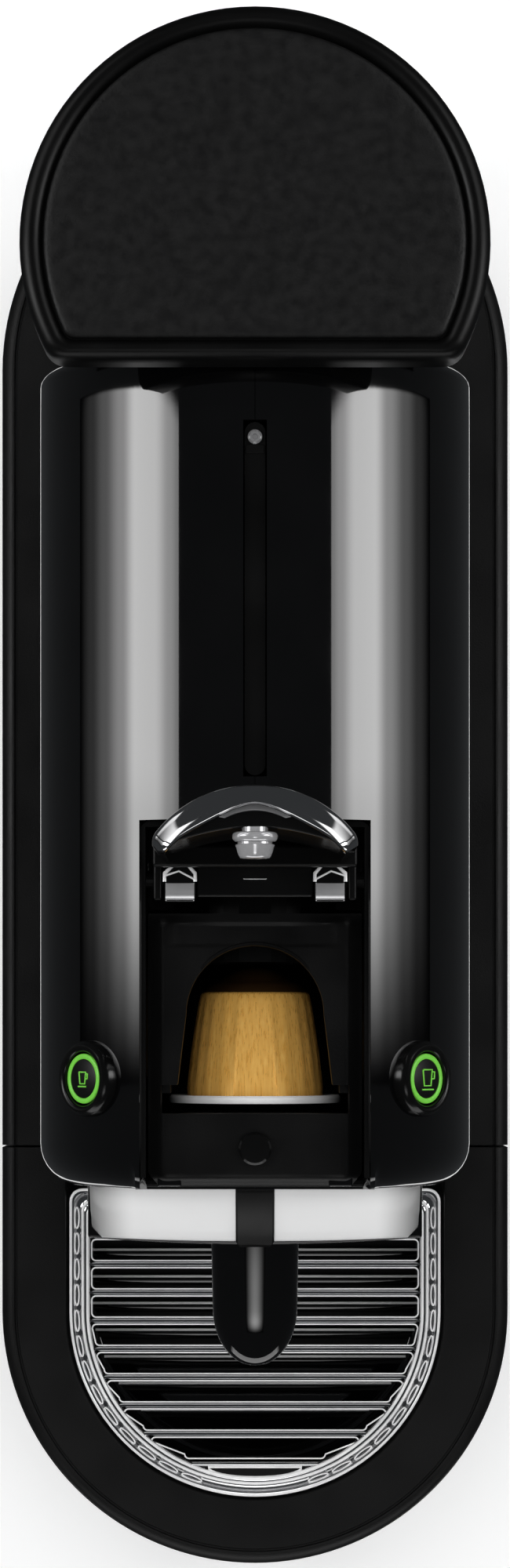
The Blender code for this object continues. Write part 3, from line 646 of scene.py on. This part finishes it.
def make_cup_support():
    """A chromed wire and plate grid: stepped rim, thin bright bars and a small front panel."""
    top = DECK_Z
    outer = support_outline(47.85, SUPPORT_REAR_Y)
    inner = support_outline(42.2, SUPPORT_REAR_Y - 5.6, 2.0)
    drops = ((0.0, 3.0), (0.0, 1.0), (0.05, 0.45), (0.14, 0.15), (0.24, 0.2), (0.32, 0.8), (0.38, 1.3),
        (0.50, 1.35), (0.58, 1.2), (0.66, 0.5), (0.74, 0.12), (0.86, 0.1), (0.95, 0.4), (1.0, 1.0),
        (1.0, 3.0))
    levels = [(share, top - drop) for share, drop in drops]
    ring_plate("cup_support_rim", outer, inner, levels, "chrome", "cup_support", "cup_support")
    front_y = -BASE_ARC_Y
    wide, narrow = BAR_WIDTH / 2, BAR_WIDTH / 4
    bar = [(-wide, -1.6), (wide, -1.6), (wide, 0.5), (narrow, 1.0), (-narrow, 1.0), (-wide, 0.5)]
    for k in range(math.ceil((FIRST_BAR_Y - LENS_Y - 1) / BAR_PITCH)):
        y = FIRST_BAR_Y - BAR_PITCH * k
        half = reach_at(y, GRID_REACH)
        path = [(-half - 0.4, y, top - 1.25), (half + 0.4, y, top - 1.25)]
        sweep(f"cup_bar_{k}", path, bar, "chrome", "cup_support")
    half = reach_at(LENS_Y, GRID_REACH)
    start = math.degrees(math.atan2(LENS_Y - front_y, half))
    lens = arc(0, front_y, GRID_REACH + 0.3, 180 - start, 360 + start, 24)
    sheet_metal("cup_support_panel", lens, top - 2.6, top - 0.7, "matte_black", "cup_support", bevel=0.3)
    edge = [(-half, LENS_Y, top - 0.6), (half, LENS_Y, top - 0.6)]
    sweep("cup_panel_edge", edge, round_profile(0.6, 10), "chrome", "cup_support")


def support_highlight_bead(name, points, radius, drop):
    """A closed bead on the cup support, this far under the deck, white as a painted highlight line."""
    sweep(f"support_{name}", at_height(points, DECK_Z - drop), round_profile(radius, 8), "painted_highlight_plate",
        "cup_support", closed=True)


def rounded_window(left, right, bottom, top, corner_r):
    """A window outline between two bars, given by its half widths at the bottom and the top."""
    points = []
    for cx, cy, a0 in ((right[1] - corner_r, top - corner_r, 0), (left[1] + corner_r, top - corner_r, 90),
            (left[0] + corner_r, bottom + corner_r, 180), (right[0] - corner_r, bottom + corner_r, 270)):
        points += arc(cx, cy, corner_r, a0, a0 + 90, 5)
    return points


def reach_at(y, radius):
    """Half the width of the grid at a place along y."""
    past = max(0.0, -BASE_ARC_Y - y)
    return math.sqrt(max(0.0, radius * radius - past * past))


def make_support_highlight_beads():
    """The cup support's painted highlight lines: three beads on the rim, a chain of ovals, a bead round each
    window.
    """
    for name, half, inwards, corner_r, radius, drop in (
        ("bead_outer", 47.2, 0.6, 3.0, 0.42, 0.45), ("bead_middle", 44.2, 3.6, 2.4, 0.34, 0.3),
        ("bead_inner", 42.9, 4.9, 2.0, 0.42, 0.2)):
        support_highlight_bead(name, support_outline(half, SUPPORT_REAR_Y - inwards, corner_r), radius, drop)
    straight = -BASE_ARC_Y
    rail = 45.7
    for side, label in SIDES:
        for k in range(13):
            y = -97.0 - 6.6 * k
            turn = max(0.0, (straight - y) / rail)
            cx, cy = rail * math.cos(turn), (y if turn == 0 else straight - rail * math.sin(turn))
            oval = []
            for i in range(20):
                a = 2 * math.pi * i / 20
                out, along = 0.55 * math.cos(a), 2.7 * math.sin(a)
                oval.append((side * (cx + out * math.cos(turn) - along * math.sin(turn)),
                    cy - out * math.sin(turn) - along * math.cos(turn)))
            support_highlight_bead(f"oval_{label}_{k}", oval, 0.2, 0.7)
    edges = [-95.6] + [FIRST_BAR_Y - BAR_PITCH * k for k in range(9)]
    for k in range(9):
        high, low = edges[k] - (0.9 if k else 0.2), edges[k + 1] + 0.9
        wide_top, wide_low = reach_at(high, 41.9), reach_at(low, 41.9)
        window = rounded_window((-wide_low, -wide_top), (wide_low, wide_top), low, high, 1.1)
        support_highlight_bead(f"window_{k}", window, 0.21, 0.9)
    half = reach_at(LENS_Y, 41.0)
    lens = [(-half + 2 * half * i / 12, LENS_Y - 0.8) for i in range(13)]
    lens += [(half * math.cos(a), LENS_Y - 0.8 - 2.6 * math.sin(a))
        for a in (math.pi * i / 16 for i in range(1, 16))]
    support_highlight_bead("panel_bead", lens, 0.3, 0.5)


def make_lower_grid():
    """The dark grid under the cup support."""
    outer = support_outline(47.6, -86.0, 2.0)
    inner = support_outline(43.5, -90.0, 2.0)
    levels = [(0.0, 8.6), (0.0, 9.9), (0.1, 10.1), (0.9, 10.1), (1.0, 9.9), (1.0, 8.6)]
    ring_plate("lower_grid_rim", outer, inner, levels, "gloss_black", "drip_unit", "lower_drip_grid")
    bar = [(-1.5, -0.6), (1.5, -0.6), (1.5, 0.5), (1.0, 0.85), (-1.0, 0.85), (-1.5, 0.5)]
    for k in range(math.ceil((LOWER_BAR_Y + 160) / BAR_PITCH)):
        y = LOWER_BAR_Y - BAR_PITCH * k
        half = reach_at(y, LOWER_REACH)
        sweep(f"lower_bar_{k}", [(-half, y, 9.2), (half, y, 9.2)], bar, "gloss_black", "drip_unit")
        # painted highlight: a white line along each bar's edge
        sweep(f"lower_bar_edge_{k}", [(-half, y + 0.9, 10.1), (half, y + 0.9, 10.1)], round_profile(0.38, 8),
            "painted_highlight_plate", "drip_unit")
    panel = arc(0, -BASE_ARC_Y, 44.2, 200, 340, 24)
    sheet_metal("lower_grid_panel", panel, 8.7, 10.0, "gloss_black", "drip_unit", bevel=0.3)


# ---------------------------------------------------------------- body shell


def make_body():
    """Both halves of the body: a sheet, open over the lever and along the groove, and two end walls."""
    quarter = [math.pi / 2 * i / 8 for i in range(9)]
    stations = [(BODY_FRONT_Y + 1.2 + NOSE * (1 - math.cos(a)), NOSE * (1 - math.sin(a)) * 0.95)
        for a in quarter]
    stations += [(y, 0.0) for y in (*range(-68, -49), -40, -30, -20, -12, OPENING_REAR_Y, GROOVE_FRONT_Y, 14,
        26, 38, 50, 62, 72, GROOVE_REAR_Y, 85, BODY_REAR_Y - TAIL)]
    quarter = [math.pi / 2 * i / 5 for i in range(1, 6)]
    stations += [(BODY_REAR_Y - TAIL + TAIL * math.sin(a), TAIL * (1 - math.cos(a))) for a in quarter]
    for side, label in SIDES:
        node = f"{label}_cover"
        rows = []
        for y, inset in stations:
            reach = ARCH_R - inset
            row = []
            for x, z in arch_plan(side, ARCH_R):
                if abs(x) > OPENING_HALF + 1:
                    x = side * max(OPENING_HALF + 1, abs(x) * reach / ARCH_R)
                row.append((x, y, z - max(0.0, z - SPRING_Z) * inset / ARCH_R))
            rows.append(row)
        hole = button_frame(side)[0]

        def gap(row, column):
            """Whether a face of the sheet is left out, for the button, the opening or the groove."""
            y = (stations[row][0] + stations[row + 1][0]) / 2
            across = (Vector(rows[row][column]) + Vector(rows[row][column + 1])) / 2
            across.y = y
            if (across - hole).length < BUTTON_HOLE_R:
                return True
            if y < OPENING_REAR_Y:
                return column <= OPENING_COLUMNS
            return GROOVE_FRONT_Y < y < GROOVE_REAR_Y and column < 1

        build_shell(f"{label}_cover_shell", rows, "gloss_black", node, gap)
        seam, mouth = side * SEAM_X, side * MOUTH_HALF
        front = [(mouth, FOOT_Z), (mouth, MOUTH_TOP_Z), (seam, MOUTH_TOP_Z), (seam, FRONT_WALL_TOP_Z),
            (side * OPENING_HALF, FRONT_WALL_TOP_Z)] + [(x, z) for x, _, z in rows[0][1 + OPENING_COLUMNS:]]
        back = [(seam, FOOT_Z)] + [(x, z) for x, _, z in rows[-1]]
        for name, wall, y in (("front", front, stations[0][0]), ("back", back, stations[-1][0] - SHEET)):
            vertices, faces = stack([[(x, at, z) for x, z in wall] for at in (y, y + SHEET)])
            crease(piece(f"{label}_cover_{name}", vertices, faces, "gloss_black", "machine", node), 30)


def arch_plan(side, radius):
    """Half of the arch's outline: seam, groove edge, opening edge, then round to the foot."""
    marks = [SEAM_X] + [GROOVE_HALF + (OPENING_HALF - GROOVE_HALF) * i / OPENING_COLUMNS
        for i in range(OPENING_COLUMNS + 1)]
    points = [(side * x, SPRING_Z + math.sqrt(radius * radius - x * x)) for x in marks]
    start = math.degrees(math.asin(OPENING_HALF / radius))
    for i in range(1, 41):
        a = math.radians(start + (90 - start) * i / 40)
        points.append((side * radius * math.sin(a), SPRING_Z + radius * math.cos(a)))
    return points + [(side * radius, SPRING_Z - (SPRING_Z - FOOT_Z) * i / 6) for i in range(1, 7)]


def build_shell(name, rows, finish, node, gap):
    """An open sheet of rows of points, left out where gap says so, and thickened inwards."""
    count = len(rows[0])
    faces = [face for face in net(len(rows), count) if not gap(*divmod(face[0], count))]
    mesh = bpy.data.meshes.new(name)
    mesh.from_pydata([tuple(c * MM for c in v) for v in flatten(rows)], [], faces)
    outward = sum(f.normal.dot(f.center - Vector((0, f.center.y, SPRING_Z * MM * 0.6)))
        for f in mesh.polygons)
    if outward < 0:
        mesh.flip_normals()
    mesh.shade_smooth()
    obj = place(name, mesh)
    obj.data.materials.append(FINISH[finish])
    wall = obj.modifiers.new("wall", "SOLIDIFY")
    wall.thickness = SHEET * MM
    wall.offset = -1
    split = obj.modifiers.new("split", "EDGE_SPLIT")
    split.split_angle = math.radians(40)
    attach(obj, "machine")
    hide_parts(node)


# ---------------------------------------------------------------- lid and tank


def make_lid():
    """The tank lid: a rolled dark rim, a groove and an inset soft-touch panel."""
    rim = [(0.6, 13.4), (0.0, 12.6), (0.0, 3.2), (0.35, 1.8), (1.1, 0.8), (2.0, 0.3), (2.8, 0.25), (3.6, 0.6),
        (4.3, 1.3), (4.7, 1.9), (6.5, 1.9)]
    panel = [(5.0, 1.9), (5.0, 1.0), (5.25, 0.5), (5.8, 0.2), (6.8, 0.05), (9.0, 0)]
    for name, levels, finish, node in (("tank_lid_rim", rim, "lid_rim", "tank_lid"),
            ("tank_lid_panel", panel, "lid_black", None)):
        rings = [at_height(dee(LID_R - i, LID_FLAT_Y + i * 0.8, TANK_Y, 64, max(0.8, 5.0 - i * 0.45)),
            LID_TOP_Z - drop) for i, drop in levels]
        vertices, faces = stack(rings)
        crease(piece(name, vertices, faces, finish, "tank_lid", node), 50)


# ---------------------------------------------------------------- chin, spout and outlet


def make_chin():
    """The white brow above the spout, its dark lip and the black centre strip."""
    profile = [(-83.9, 190.0), (-84.3, 190.3), (-85.2, 190.0), (-90.0, 185.0), (-94.5, 180.3), (-96.4, 178.0),
        (-97.0, 176.6), (-97.2, 175.6), (-97.0, 175.0), (-84.0, 175.0)]
    rings = []
    for y, z in profile:
        ring = []
        for i in range(33):
            t = -1 + 2 * i / 32
            edge = max(0.0, abs(t) - 0.95) / 0.05
            back = 1.0 * t * t + 2.2 * edge * edge if y < -90 else 0.4 * edge * edge
            ring.append((37.4 * t, y + back, z - 1.2 * edge * edge))
        rings.append(ring)
    rows, count = len(rings), len(rings[0])
    faces = net(rows, count, round_rows=True)
    faces.append(tuple(r * count for r in range(rows)))
    faces.append(tuple(r * count + count - 1 for r in reversed(range(rows))))
    crease(piece("chin_brow", flatten(rings), faces, "chin_white", "machine", "chin_panel"), 50)
    lip = [(38.4, -84.0), (-38.4, -84.0)] + [(38.4 * t, -98.0 + 1.6 * t * t)
        for t in (-1 + i / 12 for i in range(25))]
    sheet_metal("chin_lip_edge", lip, 172.4, 174.7, "gloss_black", "machine", "chin_lip", 0.6)
    ends = [[(-w, y, z), (-w * 0.9, y - 0.35, z + 0.35), (w * 0.9, y - 0.35, z + 0.35), (w, y, z),
        (w, y + 1.2, z - 1.2), (-w, y + 1.2, z - 1.2)] for w, y, z in ((4.4, -84.2, 190.6),
        (4.4, -85.2, 190.3), (4.4, -94.6, 180.8), (4.4, -97.1, 177.9), (3.9, -98.1, 176.0),
        (3.0, -98.2, 174.8))]
    vertices, faces = stack(ends)
    crease(piece("chin_centre_strip", vertices, faces, "lid_rim", "machine", "chin_strip"), 40)


def make_spout():
    """The coffee spout: a bullet-shaped nose that falls away and narrows towards its tip."""
    half = 10.3
    rear, front = -89.0, -126.8
    top, foot = 171.9, 153.2
    tip = 13.0
    rows = []
    stations = [(rear - (rear - front - tip) * i / 10, 0.0) for i in range(11)]
    stations += [(front + tip - tip * math.sin(math.pi / 2 * i / 16), math.pi / 2 * i / 16)
        for i in range(1, 17)]
    for y, a in stations:
        t = (rear - y) / (rear - front)
        narrow = max(0.012, math.cos(a) ** 0.9)
        width = half * (1.0 - 0.07 * t) * narrow
        crown = top - 0.3 - 6.2 * t ** 1.35 - 3.2 * (1 - math.cos(a)) ** 1.1
        depth = 5.5 * narrow
        base = min(crown - depth - 0.6, foot + 3.0 * (1 - math.cos(a)))
        section = [(width * 0.8, base), (width, base + 0.3)]
        for i in range(21):
            b = math.pi * i / 20
            section.append((width * math.cos(b), crown - depth + depth * math.sin(b) ** 0.8))
        section += [(-width, base + 0.3), (-width * 0.8, base)]
        rows.append([(x, y, z) for x, z in section])
    vertices, faces = stack(rows)
    crease(piece("spout_shell", vertices, faces, "gloss_black", "machine", "spout_cover"), 60)


# ---------------------------------------------------------------- capsule slot and capsule


def smooth_step(value, low, high):
    """0 up to low, 1 from high, and smooth between."""
    t = min(1.0, max(0.0, (value - low) / (high - low)))
    return t * t * (3 - 2 * t)


def slot_half(y):
    """Half the width of the slot at a place along y: an arch, then straight flanks."""
    if y > SLOT_ARCH_Y:
        return math.sqrt(max(0.0, SLOT_R ** 2 - (y - SLOT_ARCH_Y) ** 2))
    if y > FLANK_END_Y:
        return SLOT_R + (FLANK_HALF - SLOT_R) * (SLOT_ARCH_Y - y) / (SLOT_ARCH_Y - FLANK_END_Y)
    return FLANK_HALF


def make_slot_cover():
    """The textured cover round the capsule's slot, with raised shoulders and a plain band behind."""
    def height(x, y):
        shoulder = smooth_step(abs(x), 6.0, 18.8) - 1.2 * smooth_step(abs(x), 18.8, 22.5)
        band = smooth_step(y, -31.2, -30.6) * (1 - smooth_step(y, -26.6, -26.0))
        rear_band = band * (1 - smooth_step(abs(x), 17.0, 17.4))
        nose = smooth_step(-y, 78.6, 81.8)
        return 249.8 + 1.3 * shoulder * smooth_step(-y, 24.0, 27.0) - 0.35 * rear_band - 2.2 * nose * nose

    def section(left, right, y, steps):
        """The cover's outline across: its top in steps, then its flat underside."""
        across = [left + (right - left) * j / steps for j in range(steps + 1)]
        return [(x, y, height(x, y)) for x in across] + [(right, y, SLOT_COVER_FOOT_Z),
            (left, y, SLOT_COVER_FOOT_Z)]

    rear_run, gap_run = SLOT_COVER_REAR_Y - FLANK_END_Y, FLANK_END_Y - SLOT_END_Y
    for side, label in SIDES:
        rear = [SLOT_COVER_REAR_Y - i * rear_run / 90 for i in range(91)]
        gap = [FLANK_END_Y - gap_run * i / 12 for i in range(13)]
        for place, rows in (("rear", [section(side * slot_half(y), side * SLOT_COVER_HALF, y, 16)
                for y in rear]), ("front", [section(side * FLANGE_HALF, side * SLOT_COVER_HALF, y, 8)
                for y in gap])):
            node = "slot_cover" if (label, place) == ("left", "rear") else None
            vertices, faces = stack(rows)
            crease(piece(f"slot_cover_{label}_{place}", vertices, faces, "slot_grey", "machine", node), 40)
    rows = []
    for i in range(33):
        y = SLOT_END_Y - 15.6 * i / 32
        half = SLOT_COVER_HALF - 2.1 * smooth_step(-y, 78.3, 81.8)
        rows.append(section(-half, half, y, 48))
    vertices, faces = stack(rows)
    crease(piece("slot_cover_front", vertices, faces, "slot_grey", "machine"), 40)
    rim = [(16.6, -60.0, 250.15)] + at_height(arc(0, SLOT_ARCH_Y, 14.9, 0, 180, 32),
        250.0) + [(-16.6, -60.0, 250.15)]
    sweep("slot_cover_rim", rim, [(-0.45, -0.4), (0.45, -0.4), (0.3, 0.3), (-0.3, 0.3)], "lid_rim", "machine")
    for side, label in SIDES:
        x0, x1 = sorted((side * 15.5, side * 20.5))
        boxy(f"slot_cover_notch_{label}", (x0, -81.6, 248.6), (x1, -78.8, 250.3), "gloss_black", "machine",
            bevel=0.3)


def make_groove_catch():
    """A small catch at the rear end of the crown's groove."""
    spin("groove_catch", [(0.0, 0.0), (1.5, 0.0), (1.5, 0.5), (1.1, 0.8), (0.6, 0.8), (0.5, 0.5), (0.0, 0.5)],
        (0, 74.6, 260.8), (0, 0, 1), "dark_chrome", "machine", steps=32)
    boxy("groove_catch_tab", (-1.9, 71.2, 260.6), (1.9, 73.0, 261.3), "lid_rim", "machine", bevel=0.2)


def make_opening_wall():
    """The dark front wall of the opening, under the slot cover's nose."""
    boxy("opening_front_wall", (-24.6, -82.0, 236.0), (24.6, -79.8, 246.9), "lid_rim", "machine", bevel=0.8)


def make_capsule():
    """A foil capsule lying along y: flange, ribbed bowl, shoulder and domed tip."""
    origin = (0, -63.4, BREW_Z)
    flange = [(0.0, -0.5), (17.2, -0.5), (17.7, -0.9), (18.3, -0.9), (18.5, -0.4), (18.5, 0.3), (18.1, 0.75),
        (17.3, 0.75), (16.6, 0.4), (14.9, 0.4), (14.9, 0.0), (0.0, 0.0)]
    spin("capsule_flange", flange, origin, (0, 1, 0), "silver_rim", "machine", "capsule", steps=96)
    bowl = [(14.6, 0.45)] + [(14.7 - 2.9 * t ** 1.3, 0.5 + 21.8 * t) for t in (i / 12 for i in range(1, 13))]
    bowl += [(11.5, 22.7), (11.1, 22.9)]
    turns = [2 * math.pi * i / 96 for i in range(96)]
    rings = []
    for radius, height in bowl:
        rib = 0.12 if 2 < height < 22 else 0
        reaches = [(a, radius + rib * math.cos(24 * a)) for a in turns]
        rings.append([(r * math.cos(a), origin[1] + height, BREW_Z + r * math.sin(a)) for a, r in reaches])
    vertices, faces = stack(rings)
    crease(piece("capsule_bowl", vertices, faces, "gold_foil", "machine"), 40)
    cone = [(11.1, 22.6), (11.0, 23.0), (10.0, 24.4), (8.6, 25.0), (7.4, 25.6), (6.0, 26.6), (4.6, 27.3),
        (3.4, 27.9), (2.2, 28.1), (0.0, 28.2)]
    spin("capsule_tip", [(0.0, 22.6)] + cone, origin, (0, 1, 0), "cone_brown", "machine", steps=48)


# ---------------------------------------------------------------- lever


def make_lever():
    """The bowed chromed handle, the lens face under it, the two-tier knob and the two lugs."""
    cy = HANDLE_CROWN_Y - HANDLE_R
    span = 57.4
    steps = 72
    low, high = 263.6, LEVER_TOP_Z
    rings = []
    for k in range(steps + 1):
        a = math.radians(-span + 2 * span * k / steps)
        t = abs(2 * k / steps - 1)
        thick = 4.2 + 1.1 * math.sin(math.pi * min(1.0, t * 1.05)) ** 1.5
        end = max(0.0, (t - 0.9) / 0.1)
        r_out = HANDLE_R - 0.9 * end * end
        thick -= 1.2 * end * end
        drop = 1.5 * end * end
        ring = [(r_out, low), (r_out, high - 4.0 - drop), (r_out - 0.1, high - 3.2 - drop),
            (r_out - 0.25, high - 2.75 - drop)]
        for i in range(1, 7):
            share = i / 7
            ring.append((r_out - 0.25 - (thick - 1.1) * share, high - drop - 2.9 * (1 - share) ** 1.15))
        ring += [(r_out - thick + 0.55, high - drop), (r_out - thick + 0.15, high - 0.5 - drop),
            (r_out - thick, high - 1.3 - drop), (r_out - min(thick, 3.2), high - 8.0),
            (r_out - min(thick, 3.2), low)]
        rings.append([(r * math.sin(a), cy + r * math.cos(a), z) for r, z in ring])
    vertices, faces = stack(rings)
    crease(piece("lever_bow", vertices, faces, "chrome", "lever", "lever_handle"), 60)
    boxy("lever_web", (-12.2, -20.8, 252.0), (12.2, -13.4, 254.2), "lever_black", "lever")
    boxy("lever_web_line", (-2.4, -17.1, 254.1), (2.4, -16.8, 254.4), "chrome", "lever", bevel=0.1)
    lens_r = HANDLE_R - 3.0
    start = math.degrees(math.asin((-12.3 - cy) / lens_r))
    reach = lens_r * math.cos(math.radians(start))
    lens = arc(0, cy, lens_r, start, 180 - start, 32)
    lens += [(-reach * (1 - i / 8), -12.3 + 3.4 * math.sin(math.pi * i / 16)) for i in range(1, 8)]
    lens += [(reach * i / 8, -12.3 + 3.4 * math.sin(math.pi * (8 - i) / 16)) for i in range(0, 8)]
    sheet_metal("lever_face", lens, 262.6, 308.0, "lever_black", "lever", "lever_body")
    brow = arc(0, cy, lens_r - 0.3, 62, 118, 24) + arc(0, cy + 7.0, lens_r - 9.2, 118, 62, 24)
    sheet_metal("lever_face_plate", brow, 307.6, 309.0, "dark_chrome", "lever", bevel=0.3)
    boxy("lever_cross_bar", (-21.2, -14.7, 257.2), (21.2, -10.3, 262.6), "lid_rim", "lever", bevel=0.6)
    for side, label in SIDES:
        x0, x1 = sorted((side * 19.5, side * 21.2))
        boxy(f"lever_cheek_{label}_foot", (x0, -21.5, 247.0), (x1, -12.3, 255.9), "lid_rim", "lever")
        boxy(f"lever_cheek_{label}_arm", (x0, -14.6, 255.0), (x1, -10.5, 262.0), "lid_rim", "lever")
        inner, outer = side * 12.5, side * 18.9
        body = [(inner, LUG_FRONT_Y), (outer, LUG_FRONT_Y), (outer, -15.9), (side * 15.4, -12.3),
            (inner, -15.9)]
        sheet_metal(f"lever_lug_{label}_block", body, 247.0, 255.6, "lever_black", "lever",
            f"lever_lug_{label}")
        rows = []
        for t in (i / 8 for i in range(9)):
            y, z = LUG_FRONT_Y + 0.1 + 4.1 * t, 255.4 + 0.6 * math.sin(math.pi * t) ** 0.7
            rows.append([(side * 12.7, y, z), (side * 18.7, y, z), (side * 18.7, y, 254.0),
                (side * 12.7, y, 254.0)])
        vertices, faces = stack(rows)
        crease(piece(f"lever_lug_{label}_pad", vertices, faces, "knob_plate", "lever"), 60)
        # painted highlights: white lines along the lug's edge and along its crease
        edge = [(inner, -17.6, 255.7), (inner, -15.9, 255.7), (side * 15.4, -12.6, 255.7),
            (outer, -15.9, 255.7), (outer, -17.6, 255.7)]
        sweep(f"lever_lug_{label}_edge", edge, round_profile(0.42, 10), "painted_highlight_plate", "lever")
        sweep(f"lever_lug_{label}_crease", [(inner, -17.2, 255.9), (side * 15.9, -15.4, 256.0),
            (outer, -16.4, 255.9)], round_profile(0.22, 8), "painted_highlight_plate", "lever")
    stud = [(0.0, -0.6), (2.6, -0.6), (2.6, 0.4), (4.0, 0.4), (4.4, 0.7), (4.5, 1.2), (4.4, 1.8), (4.0, 2.2),
        (3.7, 2.3), (3.4, 2.3), (3.4, 2.7), (3.9, 2.9), (3.7, 3.4), (3.5, 4.2), (3.2, 5.0), (2.9, 5.5),
        (2.3, 5.6), (0.0, 5.5)]
    spin("latch_knob", stud, (0, -9.4, 306.6), (0, -1, 0), "knob_plate", "lever", "latch_stud", steps=64,
        angle=50)


# ---------------------------------------------------------------- buttons


def button_frame(side):
    """A button's middle on the arch, the way out of it, and the two ways along it: to +y and +x."""
    outward = Vector((side * math.sin(BUTTON_TILT), 0, math.cos(BUTTON_TILT)))
    middle = Vector((side * ARCH_R * math.sin(BUTTON_TILT), BUTTON_Y,
        SPRING_Z + ARCH_R * math.cos(BUTTON_TILT)))
    ahead = Vector((0, 1, 0))
    return middle, outward, ahead, ahead.cross(outward)


def cup_icon(name, side, size, finish, body):
    """A raised coffee cup sign: cup, handle and saucer, drawn with fine lines."""
    middle, outward, ahead, across = button_frame(side)

    def at(u, v):
        return tuple(middle + across * (u * size) + ahead * (v * size) + outward * 2.0)

    lines = {
        "bowl": [(-0.75, 0.95), (-0.55, -0.75), (0.55, -0.75), (0.75, 0.95), (-0.75, 0.95)],
        "ear": [(0.7, 0.75), (1.15, 0.7), (1.1, 0.0), (0.62, -0.05)],
        "saucer": [(-0.95, -1.15), (0.95, -1.15)],
    }
    for label, points in lines.items():
        curve = bpy.data.curves.new(f"{name}_{label}", "CURVE")
        curve.dimensions = "3D"
        curve.bevel_depth = 0.17 * MM
        curve.bevel_resolution = 2
        spline = curve.splines.new("POLY")
        spline.points.add(len(points) - 1)
        for target, (u, v) in zip(spline.points, points):
            target.co = (*[c * MM for c in at(u, v)], 1)
        obj = place(f"{name}_{label}", curve)
        obj.data.materials.append(FINISH[finish])
        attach(obj, body)


def make_buttons():
    """Both buttons: dark bezel, domed cap, lit ring and cup sign."""
    for (side, label), body, size in zip(SIDES, ("espresso_button", "lungo_button"), (1.45, 2.0)):
        collar = f"button_collar_{label}"
        middle, outward = button_frame(side)[:2]
        bezel = [(5.7, -3.0), (5.7, 1.9), (6.0, 2.35), (6.5, 2.55), (7.1, 2.5), (7.7, 2.0), (8.05, 1.2),
            (8.1, -3.0)]
        spin(f"{collar}_bezel", bezel, middle, outward, "lever_black", "machine", collar, steps=72)
        cap = [(0.0, -3.0), (5.4, -3.0), (5.4, 1.2), (5.3, 1.5), (4.15, 1.5), (4.1, 1.75), (3.8, 1.9),
            (0.0, 1.9)]
        spin(f"{body}_cap", cap, middle, outward, "matte_black", body, body, steps=64)
        ring = [(4.15, 1.3), (4.2, 1.8), (4.45, 1.95), (4.9, 1.95), (5.2, 1.8), (5.3, 1.4)]
        spin(f"{body}_light", ring, middle, outward, "green_glow", body, steps=72)
        cup_icon(f"{body}_sign", side, size, "green_glow", body)


# ---------------------------------------------------------------- CAD nodes kept as they are


def dress_nodes():
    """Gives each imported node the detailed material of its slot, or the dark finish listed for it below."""
    # The capsule cage, its carriage and the extraction plate are black here as painted shade inside the
    # recess under the lever; the opening frame, slot plug and spine strip take darker, rougher finishes.
    dark_and_painted_shade_finishes = {"opening_frame": "lid_rim", "capsule_cage": "lid_rim", "cage_carriage": "lid_rim",
        "extraction_plate": "lid_rim", "slot_plug": "lever_black", "spine_strip": "lid_rim"}
    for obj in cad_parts.values():
        for holder in obj.material_slots:
            name = dark_and_painted_shade_finishes.get(obj.name, holder.material.name.split(".")[0])
            if name in FINISH:
                holder.material = FINISH[name]
            else:
                print("no finish for", obj.name, name)


make_camera()
make_stage()
FINISH = make_materials()
dress_nodes()
make_base()
make_cup_support()
make_support_highlight_beads()
make_lower_grid()
make_body()
make_lid()
make_chin()
make_spout()
make_slot_cover()
make_opening_wall()
make_groove_catch()
make_capsule()
make_lever()
make_buttons()
